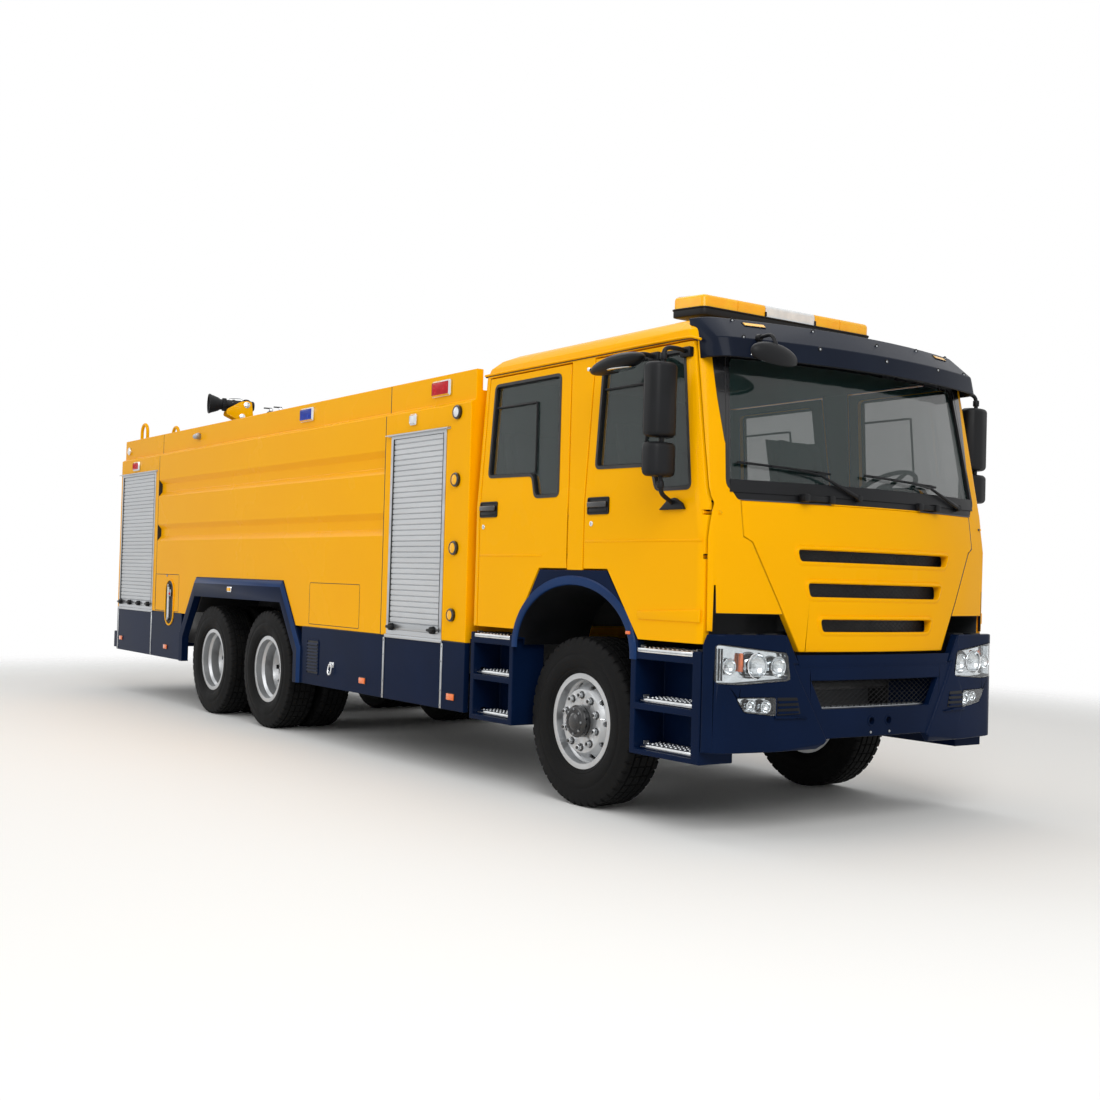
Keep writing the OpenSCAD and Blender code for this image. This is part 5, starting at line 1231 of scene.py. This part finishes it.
def makeHatch(c):
    piece = bmesh.new()
    o, x = c["slot"], c["gauge"]
    half = [(o["wide"] * math.cos(a), o["bow"] * math.sin(a)) for a in halfTurn]
    slot = [Vector((o["x"] + u, o["high"] + w)) for u, w in half] + [Vector((o["x"] - u, o["low"] - w)) for u,
                                                                     w in half]
    putAll(piece, ((1, sideRing, panel(*c["seam"], 0.02), 0, -0.006, 0.0008, 0.002),
                   (0, sideRing, slot, 0.016, 0, 0.009, 0.01),
                   (1, plate, onSide(slot, 0.001), (0, 0.002, 0)),
                   (1, sideRing, panel(*c["access"], 0.02), 0, -0.005, 0.0008, 0.002),
                   # level gauge and valve lever in the slot
                   (3, tube, [(x, sideY - 0.01, 0.9), (x, sideY - 0.01, 1.27)], 0.012),
                   (2, rod, (x, sideY - 0.003, 0.905), (x, sideY - 0.022, 0.905), 0.018, None, 12, 0.003),
                   (2, rod, (x, sideY - 0.003, 1.265), (x, sideY - 0.022, 1.265), 0.018, None, 12, 0.003),
                   (2, block, (-7.335, sideY - 0.02, 1.15), (-7.3, sideY - 0.004, 1.225), 0.005),
                   (4, rod, (-7.318, sideY - 0.012, 1.19), (-7.318, sideY - 0.028, 1.17), 0.01, None, 20, 0.002),
                   (2, rod, (-7.46, sideY, 1.372), (-7.46, sideY - 0.008, 1.372), 0.012, None, 16, 0.002),
                   # horn on its bracket
                   (0, block, (-6.76, -1.235, 2.818), (-6.73, -1.205, 2.88), 0.003),
                   (2, rod, (-6.8, -1.236, 2.842), (-6.69, -1.236, 2.842), 0.026, 0.034, 20, 0.004)))
    finishPiece("tank_hatch_and_fittings", piece, [yellow, blackAbs, zincSteel, whiteLens, redLens], "chassis")


makeHatch(hatchSettings)

# Lamps on the body: chromed bezels with ribbed lenses
bodyLampSettings = dict(
    high=-1.21, flat=sideY,
    boxes=(((-1.86, -1.59), (2.785, 2.905), "high", 0), ((-4.2, -3.935), (2.785, 2.905), "high", 2),
           ((-8.69, -8.47), (2.57, 2.67), "flat", 0), ((-2.12, -2.02), (2.595, 2.68), "flat", 3)),
    rounds=((-8.98, 2.82, "high", 0.045, 3, 1), (-1.427, 2.64, "flat", 0.052, 3, 5),
            (-1.427, 2.149, "flat", 0.052, 4, 5), (-1.427, 1.654, "flat", 0.052, 4, 5),
            (-1.44, 1.168, "flat", 0.048, 4, 5)))


def boxLamp(piece, x, z, y, mat):
    def edge(d, r, out):
        return [(u, y - out, w) for u, w in panel(x[0] + d, x[1] - d, z[0] + d, z[1] - d, r)]

    putAll(piece, ((1, ring, edge(0.002, 0.012, 0.016), edge(0.013, 0.006, 0.03), (0, 0.016, 0)),
                   (1, plate, edge(0, 0.014, 0), (0, -0.016, 0)),
                   (mat, plate, edge(0.012, 0.006, 0.01), (0, -0.018, 0), 0.002)))
    ribs = int((x[1] - x[0] - 0.05) / 0.018)
    for i in range(ribs):
        u = x[0] + 0.03 + 0.018 * i
        putBoth(piece, block((u, y - 0.0295, z[0] + 0.024), (u + 0.007, y - 0.025, z[1] - 0.024), 0.002), mat)


def roundLamp(piece, x, z, y, r, mat, rim):
    base = turned([(r, 0.0), (r, -0.018), (r - 0.006, -0.026), (r - 0.012, -0.026), (r - 0.014, -0.018)], 36)
    lens = turned([(0.0, -0.03), (r * 0.4, -0.0285), (r * 0.7, -0.024), (r - 0.013, -0.017)], 36)
    for part, m in ((base, rim), (lens, mat)):
        bmesh.ops.translate(part, vec=(x, y, z), verts=part.verts[:])
        putBoth(piece, part, m)


def makeBodyLamps(c):
    piece = bmesh.new()
    for x, z, face, mat in c["boxes"]:
        boxLamp(piece, x, z, c[face], mat)
    for x, z, face, r, mat, rim in c["rounds"]:
        roundLamp(piece, x, z, c[face], r, mat, rim)
    finishPiece("body_lamp_units", piece, [redLens, chrome, blueLens, whiteLens, amberLens, glossAbs], "chassis",
                ("body_lamps",), 30)


makeBodyLamps(bodyLampSettings)
print("body sides trimmed")

# Roof monitor: flanged riser, yoke with its motor, barrel with a bell mouth
monitorSettings = dict(
    place=(-8.0, -0.2, 0.0), turn=-102.7, deck=2.795, collar=3.08, axis=3.37,
    flange=((0.0, 0.0), (0.13, 0.0), (0.13, 0.018), (0.126, 0.022), (0.086, 0.024), (0.076, 0.034), (0.074, 0.11),
            (0.1, 0.114), (0.104, 0.118), (0.104, 0.142), (0.1, 0.146), (0.076, 0.15)),
    neck=((0.074, -0.04), (0.08, -0.03), (0.084, -0.004), (0.07, 0.0), (0.054, 0.0)),
    handWheel=(0.172, -0.118, -0.072), spokes=(0.5, 2.6, 4.7),
    band=((0.0555, 0.004), (0.06, 0.0), (0.085, 0.0), (0.088, 0.004), (0.088, 0.028), (0.092, 0.032), (0.092, 0.052),
          (0.088, 0.056), (0.088, 0.078), (0.084, 0.083), (0.0555, 0.083)),
    valves=((-0.3, 0.195), (-0.415, 0.215)),
    trunnion=((0.0, -0.1035), (0.0215, -0.1035), (0.0215, -0.0745), (0.066, -0.0735), (0.07, -0.068), (0.07, 0.068),
              (0.066, 0.0735), (0.0215, 0.0745), (0.0215, 0.1035), (0.0, 0.1035)),
    barrel=((0.0, -0.1), (0.046, -0.1), (0.056, -0.092), (0.058, -0.08), (0.058, 0.12), (0.066, 0.124), (0.066, 0.15),
            (0.058, 0.154), (0.058, 0.216), (0.068, 0.22), (0.071, 0.226), (0.071, 0.262), (0.068, 0.268),
            (0.06, 0.272), (0.062, 0.29), (0.078, 0.314), (0.096, 0.362), (0.106, 0.394), (0.112, 0.402),
            (0.115, 0.412), (0.112, 0.422), (0.102, 0.422), (0.096, 0.412), (0.086, 0.372), (0.066, 0.318),
            (0.044, 0.286), (0.038, 0.22), (0.0, 0.214)),
    core=((0.0, 0.392), (0.034, 0.392), (0.04, 0.388), (0.04, 0.378), (0.022, 0.368), (0.014, 0.34), (0.014, 0.212)))


def boltRing(piece, centre, axis, reach, count, size, mat, height=0.012):
    axis = Vector(axis)
    side = axis.orthogonal().normalized()
    other = axis.cross(side)
    for i in range(count):
        a = 2 * math.pi * (i + 0.5) / count
        p = Vector(centre) + reach * (math.cos(a) * side + math.sin(a) * other)
        put(piece, rod(p, p + axis * height, size, segs=6, soft=0.001), mat)


def finishMonitor(c, name, piece, mats, node, smooth=35):  # drawn at its own centre, then set on the deck
    place = Matrix.Translation(c["place"]) @ Matrix.Rotation(math.radians(c["turn"]), 4, "Z")
    bmesh.ops.transform(piece, matrix=place, verts=piece.verts[:])
    finishPiece(name, piece, mats, bodyOf[node], (node,), smooth)


def makeRiser(c):
    piece, deck, collar = bmesh.new(), c["deck"], c["collar"]
    riser = [(r, deck + h) for r, h in c["flange"]] + [(r, collar + h) for r, h in c["neck"]]
    put(piece, turned(riser, 40), 0, upright)
    boltRing(piece, (0, 0, deck + 0.02), (0, 0, 1), 0.108, 8, 0.01, 2)
    boltRing(piece, (0, 0, deck + 0.144), (0, 0, 1), 0.09, 8, 0.007, 2, 0.008)
    # worm gear case with its hand wheel, and the drain cock
    x, y, z = Vector(c["handWheel"]) + Vector((0, 0, collar))
    rim = [(x, y + 0.075 * math.cos(a), z + 0.075 * math.sin(a)) for a in turns(28)]
    drain = bends([(0, 0.06, deck + 0.07), (0, 0.135, deck + 0.07), (0, 0.14, deck + 0.03)], 0.02)
    putAll(piece, ((0, block, (-0.075, -0.15, collar - 0.11), (0.075, -0.06, collar - 0.034), 0.012, 3),
                   (0, rod, (-0.1, y, z), (0.13, y, z), 0.026, None, 20, 0.003),
                   (2, rod, (0.13, y, z), (x, y, z), 0.01, None, 20, 0.001),
                   (1, tube, rim, 0.009, True),
                   (2, tube, drain, 0.014)), put)
    for a in c["spokes"]:
        put(piece, tube([(x, y, z), (x, y + 0.072 * math.cos(a), z + 0.072 * math.sin(a))], 0.006, sides=1), 1)
    finishMonitor(c, "monitor_riser", piece, [chassisBlack, blackAbs, zincSteel], "monitor_base")


def makeYoke(c):
    piece, collar, axis = bmesh.new(), c["collar"], c["axis"]
    put(piece, turned([(r, collar + 0.0015 + h) for r, h in c["band"]], 40), 0, upright)
    put(piece, block((-0.07, -0.104, collar + 0.082), (0.07, 0.104, collar + 0.11), 0.006, 3), 0)
    arch = [(0.05 * math.cos(a), axis + 0.05 * math.sin(a)) for a in halfTurn]
    cheek = arch + [(-0.05, collar + 0.1), (0.05, collar + 0.1)]
    brace = rounded([(-0.085, collar + 0.1), (0.075, collar + 0.1), (0.235, axis - 0.115), (0.225, axis - 0.06),
                     (0.06, axis + 0.04), (-0.055, axis + 0.04)], 0.02)
    for s in (right, left):
        y = s * 0.104
        putAll(piece, ((0, plate, [(u, s * 0.0805, w) for u, w in cheek], (0, s * 0.0235, 0), 0.004),
                       (2, rod, (0, s * 0.103, axis), (0, s * 0.118, axis), 0.036, None, 28, 0.003),
                       (0, block, (-0.036, y - 0.004, collar + 0.15), (0.036, y + 0.004, collar + 0.19), 0.003),
                       (0, plate, [(u, s * 0.1045, w) for u, w in brace], (0, s * 0.009, 0), 0.002)), put)
        boltRing(piece, (0, s * 0.116, axis), (0, s, 0), 0.024, 6, 0.005, 1, 0.006)
    # feed elbow, valves and their levers behind the barrel
    elbow = bends([(-0.085, 0.0, collar + 0.045), (-0.23, 0.0, collar + 0.05), (-0.3, 0.0, collar + 0.19),
                   (-0.42, 0.0, collar + 0.215)], 0.09, 8)
    put(piece, tube(elbow, 0.04, sides=6), 1)
    for x, z in c["valves"]:
        z += collar
        putAll(piece, ((1, ball, (x, 0, z), 0.06, (1.1, 1, 1), 20),
                       (2, rod, (x, 0, z + 0.05), (x, 0, z + 0.085), 0.026, None, 20, 0.003),
                       (1, block, (x - 0.012, -0.012, z + 0.082), (x + 0.085, 0.012, z + 0.096), 0.004)), put)
    # feed flange, lift motor, the chromed ball of the cover, gauge and its pipe
    pipe = bends([(-0.04, -0.15, collar + 0.12), (-0.04, -0.15, collar + 0.06), (-0.04, -0.098, collar + 0.04)], 0.03)
    putAll(piece, ((2, rod, (-0.425, 0, collar + 0.217), (-0.49, 0, collar + 0.226), 0.056, 0.052, 28, 0.004),
                   (1, block, (-0.105, -0.19, collar + 0.115), (0.03, -0.106, collar + 0.215), 0.014, 3),
                   (1, rod, (-0.105, -0.148, collar + 0.165), (-0.175, -0.148, collar + 0.165), 0.036, None, 24, 0.005),
                   (2, ball, (-0.02, -0.15, collar + 0.222), 0.034, (1, 1, 0.8), 20),
                   (2, rod, (0.055, 0.11, collar + 0.15), (0.055, 0.15, collar + 0.15), 0.032, None, 24, 0.004),
                   (1, tube, pipe, 0.008)), put)
    finishMonitor(c, "monitor_yoke", piece, [yellow, blackAbs, chrome], "monitor_swivel")


def makeGun(c):
    piece, axis = bmesh.new(), c["axis"]
    up = Matrix.Translation((0, 0, axis))
    put(piece, turned(c["trunnion"], 36), 0, up)
    put(piece, turned(c["barrel"], 44), 0, up @ alongX)
    put(piece, turned(c["core"], 32), 1, up @ alongX)
    for t in turns(24):
        p = Vector((0.223, 0.071 * math.cos(t), axis + 0.071 * math.sin(t)))
        put(piece, rod(p, p + Vector((0.042, 0, 0)), 0.0045, segs=6), 0)
    boltRing(piece, (0.15, 0, axis), (1, 0, 0), 0.061, 8, 0.0045, 2, 0.006)
    grip = [(0.04, 0.0, axis + 0.055), (0.04, 0.0, axis + 0.085), (0.19, 0.0, axis + 0.085), (0.19, 0.0, axis + 0.056)]
    put(piece, tube(bends(grip, 0.02), 0.008), 1)
    finishMonitor(c, "monitor_gun", piece, [blackAbs, chrome, zincSteel], "monitor_barrel", 32)


for make in (makeRiser, makeYoke, makeGun):
    make(monitorSettings)

# Deck: tank lids with clamps and handles, seams over the bulkheads, a vent, a filler and a locker
deckSettings = dict(
    level=2.795, lids=((-3.45, 0.35), (-5.05, -0.35), (-6.65, 0.35)), bulkheads=(-2.53, -4.25, -5.85, -7.83),
    lid=((0.0, 0.062), (0.1, 0.06), (0.2, 0.05), (0.255, 0.044), (0.27, 0.038), (0.27, 0.026), (0.248, 0.024),
         (0.248, 0.0)),
    vent=((0.0, 0.105), (0.05, 0.102), (0.072, 0.09), (0.075, 0.07), (0.06, 0.068), (0.045, 0.064), (0.045, 0.0)),
    filler=((0.0, 0.085), (0.085, 0.083), (0.092, 0.075), (0.092, 0.05), (0.08, 0.046), (0.08, 0.008), (0.1, 0.006),
            (0.1, 0.0)))


def makeDeck(c):
    piece, z = bmesh.new(), c["level"]
    for x, y in c["lids"]:
        put(piece, turned(c["lid"], 48), 0, Matrix.Translation((x, y, z)) @ upright)
        for i in range(4):
            a = math.pi * (i + 0.5) / 2
            u, v = x + 0.275 * math.cos(a), y + 0.275 * math.sin(a)
            put(piece, rod((u, v, z), (u, v, z + 0.055), 0.011, soft=0.001), 1)
            put(piece, rod((u, v, z + 0.046), (u, v, z + 0.06), 0.024, segs=6, soft=0.002), 1)
        handle = [(x + u, y, z + w) for u, w in ((-0.07, 0.055), (-0.07, 0.095), (0.07, 0.095), (0.07, 0.055))]
        put(piece, tube(bends(handle, 0.02), 0.009), 1)
    # seams over the bulkheads, a vent and a foam filler
    for x in c["bulkheads"]:
        put(piece, block((x - 0.03, -1.15, z - 0.001), (x + 0.03, 1.15, z + 0.005), 0.002), 0)
        for i in range(16):
            y = -1.11 + 2.22 * i / 15
            put(piece, rod((x, y, z + 0.004), (x, y, z + 0.01), 0.009, 0.006, 8), 1)
    put(piece, turned(c["vent"], 28), 0, Matrix.Translation((-3.2, -0.75, z)) @ upright)
    put(piece, turned(c["filler"], 32), 2, Matrix.Translation((-7.25, -0.55, z)) @ upright)
    # locker box on the deck
    put(piece, block((-7.6, 0.1, z), (-6.98, 0.95, z + 0.11), 0.01, 3), 0)
    put(piece, block((-7.61, 0.09, z + 0.085), (-6.97, 0.96, z + 0.118), 0.008, 3), 0)
    for y in (0.3, 0.75):
        put(piece, block((-6.972, y - 0.035, z + 0.04), (-6.958, y + 0.035, z + 0.1), 0.003), 1)
    finishPiece("deck_lids_and_seams", piece, [deckPlate, zincSteel, redLens], "chassis")


makeDeck(deckSettings)

# Back: lamp clusters in the bumper pockets, blank plate, reflectors, ladder feet and grips
backSettings = dict(x=-9.28, lampZ=0.595, lamps=(2, 1, 1, 3), upper=((2.64, 1), (2.25, 2)),
                    plate=(-0.26, 0.26, 0.538, 0.652),
                    rungs=(0.9, 1.2, 1.5, 1.8, 2.1, 2.4, 2.7), rungX=-9.225, stiles=(-1.0, -0.62), brackets=(1.15, 2.5),
                    shell=((0.0, -0.02), (0.024, -0.018), (0.042, -0.01), (0.047, 0.0), (0.049, 0.01), (0.049, 0.022)),
                    bezel=((0.052, 0.0), (0.052, -0.018), (0.046, -0.026), (0.04, -0.026), (0.038, -0.018)),
                    lens=((0.0, -0.03), (0.022, -0.0285), (0.036, -0.024), (0.0395, -0.017)))


def makeBack(c):
    piece = bmesh.new()
    x, z = c["x"], c["lampZ"]
    for s in (right, left):
        put(piece, block((x + 0.022, s * 0.94 - 0.246, z - 0.051), (x + 0.031, s * 0.94 + 0.246, z + 0.051), 0.002), 0)
        for i, mat in enumerate(c["lamps"]):
            y = s * (1.125 - 0.123 * i)
            put(piece, turned(c["shell"], 28), mat, Matrix.Translation((x + 0.018, y, z)) @ alongX)
            put(piece, rod((x + 0.024, y, z), (x + 0.014, y, z), 0.0525, segs=28, soft=0.002), 5)
        # red reflectors and upper lamps
        put(piece, block((-9.16, s * 1.228 - 0.018, 0.74), (-9.146, s * 1.228 + 0.018, 0.86), 0.004), 1)
        for high, mat in c["upper"]:
            for profile, m in ((c["bezel"], 5), (c["lens"], mat)):
                put(piece, turned(profile, 32), m, Matrix.Translation((-9.15, s * 1.16, high)) @ alongX)
    edge = panel(*c["plate"], 0.012)
    put(piece, plate([(x, u, w) for u, w in edge], (-0.003, 0, 0), 0.001), 4)
    put(piece, ring([(x, u, w) for u, w in grown(edge, 0.012)], [(x, u, w) for u, w in edge], (-0.006, 0, 0)), 0)
    for y in (-0.3, 0.3):
        put(piece, block((x - 0.012, y - 0.03, 0.66), (x + 0.01, y + 0.03, 0.684), 0.004), 5)
    # rubber grips on the ladder rungs, and brackets at its feet
    x = c["rungX"]
    for z in c["rungs"]:
        put(piece, rod((x, -0.97, z), (x, -0.65, z), 0.0175, segs=16, soft=0.002), 0)
        for i in range(9):
            y = -0.94 + 0.0325 * i
            put(piece, rod((x, y, z), (x, y + 0.012, z), 0.0195, segs=16), 0)
    for y in c["stiles"]:
        put(piece, block((-9.265, y - 0.035, 0.69), (-9.185, y + 0.035, 0.7), 0.003), 6)
        for z in c["brackets"]:
            put(piece, block((-9.158, y - 0.032, z - 0.04), (-9.148, y + 0.032, z + 0.04), 0.003), 6)
            for d in (-0.026, 0.026):
                put(piece, rod((-9.157, y, z + d), (-9.165, y, z + d), 0.008, segs=6, soft=0.001), 7)
    finishPiece("back_lamps_plate_and_grips", piece, [blackAbs, redLens, amberLens, whiteLens, plateBlank, chrome,
                                                      yellow, zincSteel],
                "chassis")


makeBack(backSettings)
print("roof and back fitted")

# Seats: padded cushions blown up by cloth pressure over plain pedestals
seatSettings = dict(voxel=0.018, cap=0.022, press=4.0, floor=1.54,
                    places=((0.18, -0.93, -0.43), (0.18, 0.43, 0.93), (-0.93, -1.08, 1.08)))


def padShell(outline, y0, y1, count):  # side outline swept over one or more bolsters
    part = bmesh.new()
    width = (y1 - y0) / count
    for i in range(count):
        put(part, plate([(x, y0 + width * i + 0.004, z) for x, z in outline], (0, width - 0.008, 0), 0.024, 3))
    return part


def blowUp(name, part, c):
    mesh = bpy.data.meshes.new(name)
    part.to_mesh(mesh)
    part.free()
    made = bpy.data.objects.new(name, mesh)
    scene.collection.objects.link(made)
    voxels = made.modifiers.new("voxels", "REMESH")
    voxels.mode, voxels.voxel_size = "VOXEL", c["voxel"]
    bpy.context.view_layer.update()
    made.data = bpy.data.meshes.new_from_object(made.evaluated_get(bpy.context.evaluated_depsgraph_get()))
    made.modifiers.clear()
    bpy.data.meshes.remove(mesh)
    before = [v.co.copy() for v in made.data.vertices]
    cloth = made.modifiers.new("cloth", "CLOTH")
    cloth.settings.use_pressure = True
    cloth.settings.uniform_pressure_force = c["press"]
    cloth.settings.effector_weights.gravity = 0
    cloth.settings.quality = 4
    cloth.collision_settings.use_collision = False
    for number in range(1, 21):
        scene.frame_set(number)
    swollen = bpy.data.meshes.new_from_object(made.evaluated_get(bpy.context.evaluated_depsgraph_get()))
    made.modifiers.clear()
    scene.frame_set(1)
    for v, old, new in zip(made.data.vertices, before, swollen.vertices):
        shift = new.co - old
        v.co = old + shift * min(1, c["cap"] / max(shift.length, 1e-6))
    bpy.data.meshes.remove(swollen)
    return made


def makeSeats(c):
    frames = bmesh.new()
    low = c["floor"]
    for number, (x, y0, y1) in enumerate(c["places"]):
        seat = [(x + 0.0, low + 0.272), (x + 0.45, low + 0.29), (x + 0.45, low + 0.395), (x + 0.06, low + 0.385)]
        back = [(x - 0.02, low + 0.29), (x + 0.04, low + 0.4), (x - 0.07, low + 0.955), (x - 0.165, low + 0.935)]
        count = 3 if number < 2 else 4
        cushions = padShell(seat, y0 + 0.025, y1 - 0.025, count)
        put(cushions, padShell(back, y0 + 0.025, y1 - 0.025, count))
        pads = blowUp(f"seat_pads_{number + 1}", cushions, c)
        rest = bmesh.new()
        rest.from_mesh(pads.data)
        bpy.data.objects.remove(pads)
        bmesh.ops.translate(rest, vec=(axleX, 0, 0), verts=rest.verts[:])
        pads = finishPiece(f"seat_pads_{number + 1}", rest, [seatCloth], "cab", smooth=80,
                           atAxle=False)
        put(frames, block((x + 0.01, y0 + 0.062, low), (x + 0.398, y1 - 0.062, low + 0.262), 0.012, 3), 0)
        put(frames, block((x - 0.035, y0 + 0.004, low + 0.235), (x + 0.44, y1 - 0.004, low + 0.268), 0.01, 3), 0)
        shell = [(x - 0.045, low + 0.25), (x - 0.015, low + 0.262), (x - 0.16, low + 0.94), (x - 0.188, low + 0.945)]
        put(frames, plate([(u, y0 + 0.006, w) for u, w in shell], (0, y1 - y0 - 0.012, 0), 0.008, 3), 0)
    finishPiece("seat_frames", frames, [cabinTrim], "cab", ("seats",))


makeSeats(seatSettings)

# Dashboard with a hooded cluster, switches and vents, and the wheel on its column
dashSettings = dict(hood=((1.02, 1.86), (1.03, 1.985), (1.09, 2.01), (1.17, 1.985), (1.17, 1.9)), dials=(0.56, 0.76),
                    dialZ=1.922, switches=(3, 6), vents=(-0.95, -0.6, -0.25, 0.32, 0.95))


def makeDash(c):
    part = softCopy("dashboard", 0.008, 3)
    bmesh.ops.translate(part, vec=(-axleX, 0, 0), verts=part.verts[:])
    put(part, plate([(x, 0.42, z) for x, z in c["hood"]], (0, 0.48, 0), 0.014, 3), 0)
    put(part, block((1.016, 0.47, 1.88), (1.024, 0.85, 1.965), 0.004), 1)
    z = c["dialZ"]
    for y in c["dials"]:
        put(part, rod((1.017, y, z), (1.01, y, z), 0.04, segs=28, soft=0.002), 2)
        put(part, rod((1.012, y, z), (1.008, y, z), 0.034, segs=28), 1)
    put(part, block((1.03, -0.12, 1.77), (1.042, 0.24, 1.905), 0.005), 1)
    rows, columns = c["switches"]
    for i in range(rows * columns):
        y, z = -0.085 + 0.052 * (i % columns), 1.79 + 0.036 * (i // columns)
        put(part, block((1.024, y, z), (1.034, y + 0.04, z + 0.024), 0.003), 0)
    for y in c["vents"]:
        put(part, block((1.098, y - 0.055, 1.948), (1.18, y + 0.055, 1.96), 0.004), 1)
        for i in range(4):
            x = 1.106 + 0.018 * i
            put(part, block((x, y - 0.048, 1.958), (x + 0.006, y + 0.048, 1.964), 0.001), 0)
    finishPiece("dashboard_moulding", part, [blackAbs, glossAbs, chrome], "cab", ("dashboard",))


makeDash(dashSettings)
print("cab furnished")

# Studio: pale floor that fades to the white behind it, soft light from the front right, the side, above and behind
studio = dict(floor="#f6f6f4", fade=(7.0, 12.0), sky=0.4, key=(780, (13.0, -5.5, 8.5), 7),
              side=(410, (-1.0, -13.0, 8.0), 9), top=(500, (0.0, 1.0, 12.0), 10), back=(150, (-13.5, -5.5, 8.5), 7))


def makeStudio(c):
    floor = bmesh.new()
    bmesh.ops.create_grid(floor, x_segments=1, y_segments=1, size=20)
    mesh = bpy.data.meshes.new("studio_floor")
    floor.to_mesh(mesh)
    floor.free()
    paint = makeFinish("studio_floor_painted", (c["floor"], c["floor"]), (0.8, 0.9), 2000, 40, 0.0)
    tree = paint.node_tree
    place = addNode(tree, "ShaderNodeTexCoord").outputs["Object"]
    reach = addNode(tree, "ShaderNodeVectorMath", {0: place}, operation="LENGTH").outputs["Value"]
    fade = addNode(tree, "ShaderNodeMapRange", {"Value": reach, "From Min": c["fade"][0], "From Max": c["fade"][1]},
                   interpolation_type="SMOOTHSTEP").outputs["Result"]
    clear = addNode(tree, "ShaderNodeBsdfTransparent").outputs[0]
    mixed = addNode(tree, "ShaderNodeMixShader", {0: fade, 1: tree.nodes["Principled BSDF"].outputs[0], 2: clear})
    tree.links.new(mixed.outputs[0], tree.nodes["Material Output"].inputs["Surface"])
    mesh.materials.append(paint)
    ground = bpy.data.objects.new("studio_floor", mesh)
    scene.collection.objects.link(ground)
    world = bpy.data.worlds.new("studio_sky")
    scene.world = world
    world.use_nodes = True
    tree = world.node_tree
    rays = addNode(tree, "ShaderNodeLightPath").outputs
    seen = rays["Is Camera Ray"]
    for kind in ("Is Glossy Ray", "Is Transmission Ray"):
        seen = addNode(tree, "ShaderNodeMath", {0: seen, 1: rays[kind]}, operation="MAXIMUM").outputs[0]
    level = addNode(tree, "ShaderNodeMapRange", {"Value": seen, "To Min": c["sky"], "To Max": 1.0})
    back = tree.nodes["Background"]
    back.inputs["Color"].default_value = (1, 1, 1, 1)
    tree.links.new(level.outputs["Result"], back.inputs["Strength"])
    for name in ("key", "side", "top", "back"):
        power, place, size = c[name]
        lamp = bpy.data.lights.new(name + "_softbox", "AREA")
        lamp.energy, lamp.size = power, size
        holder = bpy.data.objects.new(name + "_softbox", lamp)
        aim = (Vector((0.5, 0, 1.4)) - Vector(place)).to_track_quat("-Z", "Y")
        holder.matrix_world = Matrix.Translation(place) @ aim.to_matrix().to_4x4()
        scene.collection.objects.link(holder)


makeStudio(studio)
